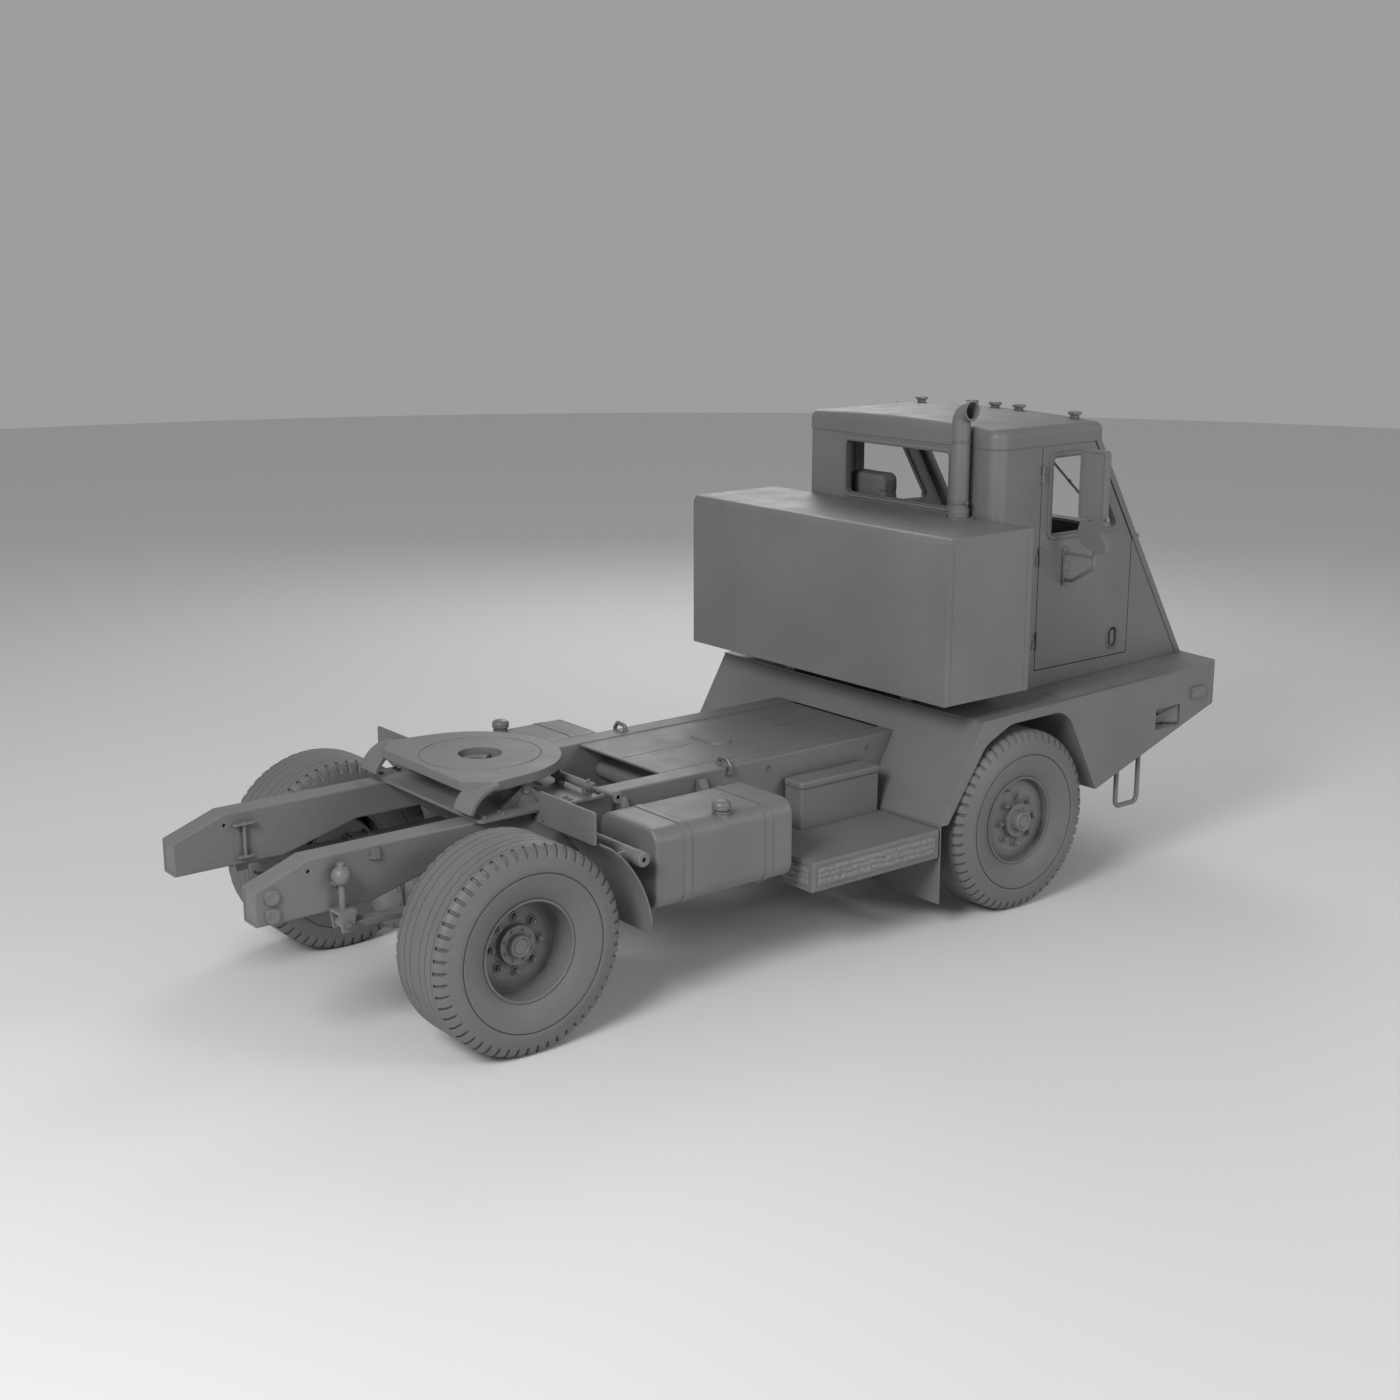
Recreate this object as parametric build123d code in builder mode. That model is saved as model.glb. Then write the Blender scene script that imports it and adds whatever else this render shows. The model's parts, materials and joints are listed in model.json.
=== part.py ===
from build123d import *
from math import atan, cos, degrees, radians, sin
import os

os.makedirs("parts", exist_ok=True)

# A terminal tractor, in millimetres. It faces -Y, its left side is +X, and the floor is z = 0.
# Driving dimensions of the running gear.
WHEELBASE = 3390
REAR_AXLE_Y = 2055
FRONT_AXLE_Y = REAR_AXLE_Y - WHEELBASE
SEAT_GAP = 0.3          # running gap between a moving piece and what carries it
PANEL_GAP = 6           # shut line round a door

FRONT_TYRE_R = 540
FRONT_TYRE_W = 300
FRONT_TYRE_OUT_X = 1195
REAR_TYRE_R = 534
REAR_TYRE_W = 450
REAR_TYRE_OUT_X = 1152
RIM_R = 262             # radius on which the beads sit
RIM_WALL = 12
FRONT_HUB_X = FRONT_TYRE_OUT_X - FRONT_TYRE_W / 2
REAR_HUB_X = REAR_TYRE_OUT_X - REAR_TYRE_W / 2
SPINDLE_R = 38
HUB_COVER = 45           # metal left between the spindle's end and the hub ring
FRONT_RING_DEPTH = 44    # hub ring below the tyre's outer plane
REAR_RING_DEPTH = 153
DRUM_R = 205
LUG_COUNT = 8
LUG_PITCH_R = 140
LUG_R = 16

KINGPIN_X = 930
KINGPIN_R = 20
KINGPIN_BOSS_R = 42
KINGPIN_BOSS_H = 130
KNUCKLE_EAR_H = 26
TIE_ROD_BACK = 150      # ball joint behind the kingpin, the same on both sides
TIE_ROD_R = 17

# Frame rails.
RAIL_IN_X = 388
RAIL_W = 136
RAIL_OUT_X = RAIL_IN_X + RAIL_W
RAIL_MID_X = RAIL_IN_X + RAIL_W / 2
RAIL_TOP = 1026
RAIL_DEPTH = 301
RAIL_BOTTOM = RAIL_TOP - RAIL_DEPTH
RAIL_END_Y = REAR_AXLE_Y + 1130
RAIL_END_TOP = 922
RAIL_END_BOTTOM = 744
RAIL_TAPER_Y = REAR_AXLE_Y + 851
RAIL_ARCH_Z = 857       # underside over the rear axle
RAIL_FRONT_Y = FRONT_AXLE_Y - 1600
RAIL_NOSE_BOTTOM = 950
RAIL_NOSE_KNEE = 782
CROSS_TUBE_R = 45

# Front deck, fenders and the slanted panel behind the front wheels.
DECK_HALF_W = 1160
DECK_T = 12
DECK_REAR_Y = FRONT_AXLE_Y + 340
DECK_REAR_Z = 1190
DECK_SLOPE = 50 / 2020
DECK_FRONT_Y = FRONT_AXLE_Y - 1850
CHAMFER_START_Y = FRONT_AXLE_Y - 1700
CORNER_X = DECK_HALF_W - 44
CORNER_Y = FRONT_AXLE_Y - 1815
FASCIA_BOTTOM = 960
SKIRT_LOW_Z = 610
SKIN_T = 12
APRON_T = 10
APRON_FOOT_Y = FRONT_AXLE_Y + 655
APRON_FOOT_Z = 633
LINER_T = 8

# Cab.
CAB_HALF_W = 825
CAB_REAR_Y = FRONT_AXLE_Y - 60
CAB_WALL = 40
CAB_CORNER_R = 80
CAB_SEAM_Z = 2665
NOSE_FOOT_Y = FRONT_AXLE_Y - 1830
NOSE_FOOT_Z = 1243
NOSE_RAKE = 0.6143      # rearward run of the nose for each unit of height
FLOOR_TOP = 1275
ROOF_EDGE_Z = 2775
ROOF_CROWN_Z = 2802
ROOF_FRONT_Y = FRONT_AXLE_Y - 980
DOOR_REAR_Y = FRONT_AXLE_Y - 445
DOOR_FRONT_Y = FRONT_AXLE_Y - 1285
DOOR_BOTTOM = 1317
WINDOW_R = 28
LIP_Z = 2050

# Rear enclosure behind the cab.
BOX_HALF_W = 1126
BOX_FRONT_Y = CAB_REAR_Y + 6
BOX_REAR_Y = BOX_FRONT_Y + 681
BOX_BOTTOM = 1312
BOX_TOP = 2256
STACK_X = -600
STACK_R = 54

# Fifth wheel.
PLATE_TOP = 1210
PLATE_T = 30
PLATE_RIM = 50
TILT_Y = REAR_AXLE_Y - 410
TILT_Z = 1120
KINGPIN_BORE_R = 117.5
KINGPIN_BORE_Y = REAR_AXLE_Y - 433
BASE_T = 16


def deck_z(y):
    """Height of the deck's top face at y."""
    return DECK_REAR_Z + DECK_SLOPE * (DECK_REAR_Y - y)


def nose_y(z, inward=0):
    """Y of the raked nose at height z, on a plane the given distance inside its outer face."""
    return NOSE_FOOT_Y + NOSE_RAKE * (z - NOSE_FOOT_Z) + inward / cos(atan(NOSE_RAKE))


def nose_foot(inward=0):
    """Point where the raked nose plane, set the given distance inward, meets the deck."""
    level_y = nose_y(NOSE_FOOT_Z, inward)
    z = (deck_z(level_y) + DECK_SLOPE * NOSE_RAKE * NOSE_FOOT_Z) / (1 + DECK_SLOPE * NOSE_RAKE)
    return nose_y(z, inward), z


def skirt_z(y):
    """Height of the sloping lower edge of the front skirt at y."""
    front_y = CHAMFER_START_Y
    low_y = FRONT_AXLE_Y - 660
    return FASCIA_BOTTOM + (SKIRT_LOW_Z - FASCIA_BOTTOM) * (y - front_y) / (low_y - front_y)


def apron_y(z):
    """Y of the rear face of the slanted panel behind the front wheels."""
    return DECK_REAR_Y + (APRON_FOOT_Y - DECK_REAR_Y) * (DECK_REAR_Z - z) / (DECK_REAR_Z - APRON_FOOT_Z)


# Frame rails: box sections that taper at the tail and arch over the rear axle.
rail_outline = (
    (RAIL_FRONT_Y, RAIL_TOP),
    (RAIL_FRONT_Y, RAIL_NOSE_BOTTOM),
    (FRONT_AXLE_Y - 1100, RAIL_NOSE_KNEE),
    (FRONT_AXLE_Y - 1000, RAIL_BOTTOM),
    (REAR_AXLE_Y - 485, RAIL_BOTTOM),
    (REAR_AXLE_Y - 295, RAIL_ARCH_Z),
    (REAR_AXLE_Y + 101, RAIL_ARCH_Z),
    (REAR_AXLE_Y + 525, RAIL_END_BOTTOM),
    (RAIL_END_Y, RAIL_END_BOTTOM),
    (RAIL_END_Y, RAIL_END_TOP),
    (RAIL_TAPER_Y, RAIL_TOP),
)
END_WALL = 12
END_RECESS = 4
RAIL_EDGE_R = 9
BOSS_R = 37
TAIL_HOLE_R = 10
with BuildPart() as rail_left:
    with BuildSketch(Plane.YZ.offset(RAIL_IN_X)):
        with BuildLine():
            Polyline(*rail_outline, close=True)
        make_face()
    extrude(amount=RAIL_W)
    side_edges = rail_left.faces().filter_by(Axis.X).edges()
    fillet(side_edges.filter_by(lambda e: e.length > 200), radius=RAIL_EDGE_R)
    end_height = RAIL_END_TOP - RAIL_END_BOTTOM
    with BuildSketch(Plane.XZ.offset(-RAIL_END_Y)):
        with Locations((RAIL_MID_X, RAIL_END_BOTTOM + end_height / 2)):
            Rectangle(RAIL_W - 2 * END_WALL, end_height - 2 * END_WALL)
    extrude(amount=END_RECESS, mode=Mode.SUBTRACT)
    with BuildSketch(Plane.YZ.offset(RAIL_OUT_X)):
        with Locations((RAIL_END_Y - 80, 880), (RAIL_END_Y - 80, 790)):
            Circle(BOSS_R)
    extrude(amount=14)
    with BuildSketch(Plane.YZ.offset(RAIL_OUT_X)):
        with Locations((REAR_AXLE_Y + 856, 966)):
            Circle(TAIL_HOLE_R)
    extrude(amount=-RAIL_W, mode=Mode.SUBTRACT)
    with BuildSketch(Plane.YZ.offset(RAIL_OUT_X)):
        with Locations((REAR_AXLE_Y + 499, 982)):
            RectangleRounded(44, 52, 8)
    extrude(amount=16)
rail_left.part.label = "rail_left"
export_step(rail_left.part, "parts/rail_left.step")

with BuildPart() as rail_right:
    mirror(rail_left.part, about=Plane.YZ)
rail_right.part.label = "rail_right"
export_step(rail_right.part, "parts/rail_right.step")

# Cross tubes between the rails: each row is y, centre height.
cross_rows = (
    (RAIL_FRONT_Y + 90, RAIL_TOP - 45),
    (FRONT_AXLE_Y + 590, RAIL_TOP - 64),
    (REAR_AXLE_Y - 1500, RAIL_BOTTOM + 120),
    (REAR_AXLE_Y - 830, RAIL_BOTTOM + 120),
)
with BuildPart() as crossmembers:
    with BuildSketch(Plane.YZ):
        with Locations(*cross_rows):
            Circle(CROSS_TUBE_R)
            Circle(CROSS_TUBE_R - 10, mode=Mode.SUBTRACT)
    extrude(amount=RAIL_IN_X, both=True)
crossmembers.part.label = "crossmembers"
export_step(crossmembers.part, "parts/crossmembers.step")

# Deck plate between the rails, with its raised oval cover.
PLATE_FRONT_Y = apron_y(RAIL_TOP)
PLATE_REAR_Y = REAR_AXLE_Y - 1345
PLATE_MID_Y = (PLATE_FRONT_Y + PLATE_REAR_Y) / 2
WALK_T = 12
WALK_Z = RAIL_TOP - 6
with BuildPart() as deck_plate:
    with BuildSketch(Plane.XY.offset(WALK_Z - WALK_T)):
        with Locations((0, PLATE_MID_Y)):
            Rectangle(2 * RAIL_IN_X, PLATE_REAR_Y - PLATE_FRONT_Y)
    extrude(amount=WALK_T)
    with BuildSketch(Plane.XY.offset(WALK_Z)):
        with Locations((0, REAR_AXLE_Y - 2000)):
            SlotOverall(300, 150)
    extrude(amount=14, taper=35)
    with BuildSketch(Plane.XY.offset(WALK_Z)):
        with Locations((0, PLATE_FRONT_Y + 380), (0, PLATE_REAR_Y - 260)):
            Rectangle(5, 500)
    extrude(amount=-4, mode=Mode.SUBTRACT)
deck_plate.part.label = "deck_plate"
export_step(deck_plate.part, "parts/deck_plate.step")

# Cross bearers that carry the front deck on the rails, each at a y, and the two beams on the deck
# that carry the rear enclosure.
BEARER_W = 80
bearer_ys = (DECK_REAR_Y - 60, FRONT_AXLE_Y - 420, FRONT_AXLE_Y - 1000, RAIL_FRONT_Y + 60)
CRADLE_X = 520
CRADLE_W = 90
cradle_outline = (
    (BOX_FRONT_Y + 10, deck_z(BOX_FRONT_Y + 10)),
    (DECK_REAR_Y - 10, deck_z(DECK_REAR_Y - 10)),
    (DECK_REAR_Y - 10, BOX_BOTTOM),
    (BOX_FRONT_Y + 10, BOX_BOTTOM),
)
with BuildPart() as deck_bearers:
    with BuildSketch(Plane.YZ):
        for y in bearer_ys:
            y0 = y - BEARER_W / 2
            y1 = y + BEARER_W / 2
            with BuildLine():
                Polyline(
                    (y0, RAIL_TOP), (y1, RAIL_TOP), (y1, deck_z(y1) - DECK_T), (y0, deck_z(y0) - DECK_T),
                    close=True,
                )
            make_face()
    extrude(amount=RAIL_OUT_X, both=True)
    for side in (1, -1):
        with BuildSketch(Plane.YZ.offset(side * CRADLE_X - CRADLE_W / 2)):
            with BuildLine():
                Polyline(*cradle_outline, close=True)
            make_face()
        extrude(amount=CRADLE_W)
deck_bearers.part.label = "deck_bearers"
export_step(deck_bearers.part, "parts/deck_bearers.step")

# Front deck: a sloping plate with chamfered front corners.
deck_plan = (
    (DECK_HALF_W, DECK_REAR_Y),
    (DECK_HALF_W, CHAMFER_START_Y),
    (CORNER_X, CORNER_Y),
    (CAB_HALF_W, DECK_FRONT_Y),
    (-CAB_HALF_W, DECK_FRONT_Y),
    (-CORNER_X, CORNER_Y),
    (-DECK_HALF_W, CHAMFER_START_Y),
    (-DECK_HALF_W, DECK_REAR_Y),
)
deck_section = (
    (DECK_REAR_Y, deck_z(DECK_REAR_Y)),
    (DECK_FRONT_Y, deck_z(DECK_FRONT_Y)),
    (DECK_FRONT_Y, deck_z(DECK_FRONT_Y) - DECK_T),
    (DECK_REAR_Y, deck_z(DECK_REAR_Y) - DECK_T),
)
with BuildPart() as front_deck:
    with BuildSketch(Plane.XY.offset(DECK_REAR_Z - 100)):
        with BuildLine():
            Polyline(*deck_plan, close=True)
        make_face()
    extrude(amount=300)
    with BuildSketch(Plane.YZ):
        with BuildLine():
            Polyline(*deck_section, close=True)
        make_face()
    extrude(amount=DECK_HALF_W, both=True, mode=Mode.INTERSECT)
front_deck.part.label = "front_deck"
export_step(front_deck.part, "parts/front_deck.step")

# Fenders: side skins with the wheel arch, step pocket and lamp, and the liner behind the arch.
arch_outline = (
    (FRONT_AXLE_Y - 660, SKIRT_LOW_Z),
    (FRONT_AXLE_Y - 374, 1147),
    (FRONT_AXLE_Y + 105, 1141),
    (FRONT_AXLE_Y + 310, 1050),
    (FRONT_AXLE_Y + 600, APRON_FOOT_Z),
)
ARCH_R = 180
POCKET_Y = FRONT_AXLE_Y - 1317
POCKET_Z = 955
POCKET_L = 235
POCKET_H = 130
SIDE_LAMP_Y = FRONT_AXLE_Y - 1596
SIDE_LAMP_Z = 1075
with BuildPart() as fender_left:
    with BuildSketch(Plane.YZ.offset(DECK_HALF_W - SKIN_T)):
        with BuildLine():
            arch = FilletPolyline(*arch_outline, radius=ARCH_R)
            Line(arch @ 1, (APRON_FOOT_Y, APRON_FOOT_Z))
            Line((APRON_FOOT_Y, APRON_FOOT_Z), (DECK_REAR_Y, DECK_REAR_Z - DECK_T))
            Line((DECK_REAR_Y, DECK_REAR_Z - DECK_T), (CHAMFER_START_Y, deck_z(CHAMFER_START_Y) - DECK_T))
            Line((CHAMFER_START_Y, deck_z(CHAMFER_START_Y) - DECK_T), (CHAMFER_START_Y, FASCIA_BOTTOM))
            Line((CHAMFER_START_Y, FASCIA_BOTTOM), arch @ 0)
        make_face()
        with Locations((POCKET_Y, POCKET_Z)):
            RectangleRounded(POCKET_L, POCKET_H, 12, mode=Mode.SUBTRACT)
    extrude(amount=SKIN_T)
    with BuildSketch(Plane.YZ.offset(RAIL_OUT_X + 8)):
        with BuildLine():
            edge = FilletPolyline(*arch_outline[:4], radius=ARCH_R)
            wall = offset(edge, LINER_T, side=Side.LEFT)
        make_face()
    extrude(amount=DECK_HALF_W - SKIN_T - RAIL_OUT_X - 8)
    with BuildSketch(Plane.YZ.offset(DECK_HALF_W)):
        with Locations((SIDE_LAMP_Y, SIDE_LAMP_Z)):
            RectangleRounded(142, 70, 10)
    extrude(amount=14)
fender_left.part.label = "fender_left"
export_step(fender_left.part, "parts/fender_left.step")

with BuildPart() as fender_right:
    mirror(fender_left.part, about=Plane.YZ)
fender_right.part.label = "fender_right"
export_step(fender_right.part, "parts/fender_right.step")

# Front fascia with its chamfered corners, and the belly plate that slopes back below it.
BELLY_T = 8
BELLY_REAR_Y = FRONT_AXLE_Y - 1150
belly_section = (
    (DECK_FRONT_Y, FASCIA_BOTTOM),
    (CHAMFER_START_Y, FASCIA_BOTTOM),
    (BELLY_REAR_Y, skirt_z(BELLY_REAR_Y)),
    (BELLY_REAR_Y, skirt_z(BELLY_REAR_Y) + BELLY_T),
    (CHAMFER_START_Y, FASCIA_BOTTOM + BELLY_T),
    (DECK_FRONT_Y, FASCIA_BOTTOM + BELLY_T),
)
fascia_plan = deck_plan[1:7]
fascia_ceiling = (
    (DECK_FRONT_Y, deck_z(DECK_FRONT_Y) - DECK_T),
    (DECK_FRONT_Y, deck_z(DECK_FRONT_Y) + 100),
    (CHAMFER_START_Y, deck_z(CHAMFER_START_Y) + 100),
    (CHAMFER_START_Y, deck_z(CHAMFER_START_Y) - DECK_T),
)
with BuildPart() as front_fascia:
    with BuildSketch(Plane.YZ):
        with BuildLine():
            Polyline(*belly_section, close=True)
        make_face()
    extrude(amount=DECK_HALF_W - SKIN_T, both=True)
    with BuildSketch(Plane.XY.offset(SKIRT_LOW_Z)):
        with BuildLine():
            Polyline(*deck_plan, close=True)
        make_face()
    extrude(amount=FASCIA_BOTTOM, mode=Mode.INTERSECT)
    with BuildSketch(Plane.XY.offset(FASCIA_BOTTOM)):
        with BuildLine():
            Polyline(*fascia_plan, close=True)
        make_face()
        offset(amount=-SKIN_T, mode=Mode.SUBTRACT)
        with Locations((0, CHAMFER_START_Y - SKIN_T / 2)):
            Rectangle(2 * (DECK_HALF_W - 2 * SKIN_T), SKIN_T, mode=Mode.SUBTRACT)
    extrude(amount=300)
    with BuildSketch(Plane.YZ):
        with BuildLine():
            Polyline(*fascia_ceiling, close=True)
        make_face()
    extrude(amount=DECK_HALF_W, both=True, mode=Mode.SUBTRACT)
front_fascia.part.label = "front_fascia"
export_step(front_fascia.part, "parts/front_fascia.step")

# Slanted apron behind the front wheels, notched over the rails, with a lip that carries the mud flaps.
LIP_H = 40
apron_section = (
    (DECK_REAR_Y, DECK_REAR_Z - DECK_T),
    (apron_y(APRON_FOOT_Z), APRON_FOOT_Z),
    (APRON_FOOT_Y, APRON_FOOT_Z - LIP_H),
    (APRON_FOOT_Y - APRON_T, APRON_FOOT_Z - LIP_H),
    (APRON_FOOT_Y - APRON_T, APRON_FOOT_Z),
    (DECK_REAR_Y - APRON_T, DECK_REAR_Z - DECK_T),
)
with BuildPart() as apron:
    with BuildSketch(Plane.YZ):
        with BuildLine():
            Polyline(*apron_section, close=True)
        make_face()
    extrude(amount=DECK_HALF_W - SKIN_T, both=True)
    notch_height = RAIL_TOP - SKIRT_LOW_Z + LIP_H
    with BuildSketch(Plane.XZ.offset(-DECK_REAR_Y + 200)):
        with Locations((0, RAIL_TOP - notch_height / 2)):
            Rectangle(2 * RAIL_OUT_X, notch_height)
    extrude(amount=-800, mode=Mode.SUBTRACT)
apron.part.label = "apron"
export_step(apron.part, "parts/apron.step")

# Mud flaps behind the front wheels.
FLAP_T = 8
FLAP_IN_X = 610
FLAP_LOW_Z = 172
with BuildPart() as mud_flaps:
    with BuildSketch(Plane.XZ.offset(-APRON_FOOT_Y)):
        with Locations(((FLAP_IN_X + DECK_HALF_W) / 2, (APRON_FOOT_Z + FLAP_LOW_Z) / 2)):
            Rectangle(DECK_HALF_W - FLAP_IN_X, APRON_FOOT_Z - FLAP_LOW_Z)
    extrude(amount=-FLAP_T)
    mirror(about=Plane.YZ)
mud_flaps.part.label = "mud_flaps"
export_step(mud_flaps.part, "parts/mud_flaps.step")

# Stirrup steps: bent tubes below the front skirt.
STIRRUP_R = 15
STIRRUP_X = DECK_HALF_W - 40
STIRRUP_FRONT_Y = FRONT_AXLE_Y - 1100
STIRRUP_L = 200
STIRRUP_LOW_Z = 445
STIRRUP_TOP_Z = 800
with BuildPart() as stirrup_steps:
    with BuildLine(Plane.YZ.offset(STIRRUP_X)):
        loop = FilletPolyline(
            (STIRRUP_FRONT_Y, STIRRUP_TOP_Z),
            (STIRRUP_FRONT_Y, STIRRUP_LOW_Z),
            (STIRRUP_FRONT_Y + STIRRUP_L, STIRRUP_LOW_Z),
            (STIRRUP_FRONT_Y + STIRRUP_L, STIRRUP_TOP_Z),
            radius=40,
        )
    with BuildSketch(Plane(origin=loop @ 0, z_dir=loop % 0)):
        Circle(STIRRUP_R)
    sweep()
    tab_depth = DECK_HALF_W - SKIN_T - STIRRUP_X
    with BuildSketch(Plane.YZ.offset(STIRRUP_X)):
        with Locations(
            (STIRRUP_FRONT_Y, STIRRUP_TOP_Z - 10), (STIRRUP_FRONT_Y + STIRRUP_L, STIRRUP_TOP_Z - 10)
        ):
            Rectangle(46, 50)
    extrude(amount=tab_depth)
    mirror(about=Plane.YZ)
stirrup_steps.part.label = "stirrup_steps"
export_step(stirrup_steps.part, "parts/stirrup_steps.step")

# Side steps with raised grip bands, their hangers, and the battery boxes that stand on them.
HANGER_T = 12
HANGER_LOW_Z = 470
HANGER_TOP_Z = 860
STEP_IN_X = RAIL_OUT_X + HANGER_T
STEP_OUT_X = DECK_HALF_W + 1
STEP_FRONT_Y = APRON_FOOT_Y + 15
STEP_L = 950
STEP_REAR_Y = STEP_FRONT_Y + STEP_L
STEP_TOP = 620
STEP_H = 170
BAND_T = 4
with BuildPart() as side_steps:
    with BuildSketch(Plane.XY.offset(STEP_TOP - STEP_H)):
        with Locations(((STEP_IN_X + STEP_OUT_X) / 2, STEP_FRONT_Y + STEP_L / 2)):
            Rectangle(STEP_OUT_X - STEP_IN_X, STEP_L)
    extrude(amount=STEP_H)
    outer_edges = side_steps.faces().sort_by(Axis.X)[-1].edges()
    fillet(outer_edges, radius=10)
    with BuildSketch(Plane.YZ.offset(STEP_OUT_X)):
        with Locations((STEP_FRONT_Y + STEP_L / 2, STEP_TOP - STEP_H / 2)):
            Rectangle(STEP_L - 60, STEP_H - 60)
    extrude(amount=BAND_T)
    with BuildSketch(Plane.XZ.offset(-STEP_REAR_Y)):
        with Locations(((STEP_IN_X + STEP_OUT_X) / 2 + 120, STEP_TOP - STEP_H / 2)):
            Rectangle(STEP_OUT_X - STEP_IN_X - 300, STEP_H - 60)
    extrude(amount=-BAND_T)
    mirror(about=Plane.YZ)
side_steps.part.label = "side_steps"
export_step(side_steps.part, "parts/side_steps.step")

with BuildPart() as step_hangers:
    with BuildSketch(Plane.YZ.offset(RAIL_OUT_X)):
        for y in (STEP_FRONT_Y + 115, STEP_FRONT_Y + 545):
            with Locations((y, (HANGER_LOW_Z + HANGER_TOP_Z) / 2)):
                Rectangle(80, HANGER_TOP_Z - HANGER_LOW_Z)
    extrude(amount=HANGER_T)
    mirror(about=Plane.YZ)
step_hangers.part.label = "step_hangers"
export_step(step_hangers.part, "parts/step_hangers.step")

BATTERY_W = 150
BATTERY_L = 600
BATTERY_H = 275
with BuildPart() as battery_boxes:
    with BuildSketch(Plane.XY.offset(STEP_TOP)):
        with Locations((STEP_IN_X + BATTERY_W / 2, STEP_FRONT_Y + 20 + BATTERY_L / 2)):
            Rectangle(BATTERY_W, BATTERY_L)
    extrude(amount=BATTERY_H)
    fillet(battery_boxes.edges().filter_by(Axis.Z), radius=18)
    with BuildSketch(Plane.XY.offset(STEP_TOP + BATTERY_H - 34)):
        with Locations((STEP_IN_X + BATTERY_W / 2 + 3, STEP_FRONT_Y + 20 + BATTERY_L / 2)):
            RectangleRounded(BATTERY_W + 6, BATTERY_L + 12, 22)
    extrude(amount=34)
    fillet(battery_boxes.faces().sort_by(Axis.Z)[-1].edges(), radius=12)
    mirror(about=Plane.YZ)
battery_boxes.part.label = "battery_boxes"
export_step(battery_boxes.part, "parts/battery_boxes.step")

# Fuel tanks: rounded section with raised strap bands, and the brackets that carry them.
TANK_IN_X = 620
TANK_W = 490
TANK_BOTTOM = 555
TANK_H = 430
TANK_R = 80
TANK_FRONT_Y = STEP_REAR_Y + 100
GUARD_TUBE_Y = REAR_AXLE_Y - 640
TANK_TO_GUARD_TUBE = 122
TANK_REAR_Y = GUARD_TUBE_Y - TANK_TO_GUARD_TUBE
TANK_L = TANK_REAR_Y - TANK_FRONT_Y
STRAP_T = 4
STRAP_W = 50
strap_ys = (TANK_FRONT_Y + 170, TANK_REAR_Y - 198)
TANK_TOP = TANK_BOTTOM + TANK_H
TANK_MID = (TANK_IN_X + TANK_W / 2, TANK_BOTTOM + TANK_H / 2)
FILLER_X = TANK_IN_X + TANK_W - 62
FILLER_Y = TANK_FRONT_Y + 440
FILLER_R = 50
with BuildPart() as fuel_tank_left:
    with BuildSketch(Plane.XZ.offset(-TANK_FRONT_Y)):
        with Locations(TANK_MID):
            RectangleRounded(TANK_W, TANK_H, TANK_R)
    extrude(amount=-TANK_L)
    end_faces = fuel_tank_left.faces().filter_by(Axis.Y)
    fillet(end_faces.edges(), radius=18)
    for strap_y in strap_ys:
        with BuildSketch(Plane.XZ.offset(-(strap_y - STRAP_W / 2))):
            with Locations(TANK_MID):
                RectangleRounded(TANK_W + 2 * STRAP_T, TANK_H + 2 * STRAP_T, TANK_R + STRAP_T)
        extrude(amount=-STRAP_W)
    with BuildSketch(Plane.XY.offset(TANK_TOP - 60)):
        with Locations((FILLER_X, FILLER_Y)):
            Circle(FILLER_R)
    extrude(amount=80, taper=10)
    with BuildSketch(Plane.XY.offset(TANK_TOP + 20)):
        with Locations((FILLER_X, FILLER_Y)):
            Circle(FILLER_R)
    extrude(amount=28)
    fillet(fuel_tank_left.faces().sort_by(Axis.Z)[-1].edges(), radius=16)
fuel_tank_left.part.label = "fuel_tank_left"
export_step(fuel_tank_left.part, "parts/fuel_tank_left.step")

with BuildPart() as fuel_tank_right:
    mirror(fuel_tank_left.part, about=Plane.YZ)
fuel_tank_right.part.label = "fuel_tank_right"
export_step(fuel_tank_right.part, "parts/fuel_tank_right.step")

SHELF_T = 14
BRACKET_IN_X = TANK_IN_X - STRAP_T
BRACKET_SHELF_Z = TANK_BOTTOM - STRAP_T
tank_bracket_outline = (
    (RAIL_OUT_X, RAIL_TOP - 30),
    (RAIL_OUT_X + 30, RAIL_TOP - 30),
    (BRACKET_IN_X, RAIL_TOP - 130),
    (BRACKET_IN_X, BRACKET_SHELF_Z),
    (TANK_IN_X + TANK_W - TANK_R, BRACKET_SHELF_Z),
    (TANK_IN_X + TANK_W - TANK_R, BRACKET_SHELF_Z - SHELF_T),
    (RAIL_OUT_X, BRACKET_SHELF_Z - SHELF_T),
)
with BuildPart() as tank_brackets:
    for strap_y in strap_ys:
        with BuildSketch(Plane.XZ.offset(-(strap_y - STRAP_W / 2))):
            with BuildLine():
                Polyline(*tank_bracket_outline, close=True)
            make_face()
        extrude(amount=-STRAP_W)
    mirror(about=Plane.YZ)
tank_brackets.part.label = "tank_brackets"
export_step(tank_brackets.part, "parts/tank_brackets.step")

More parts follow.
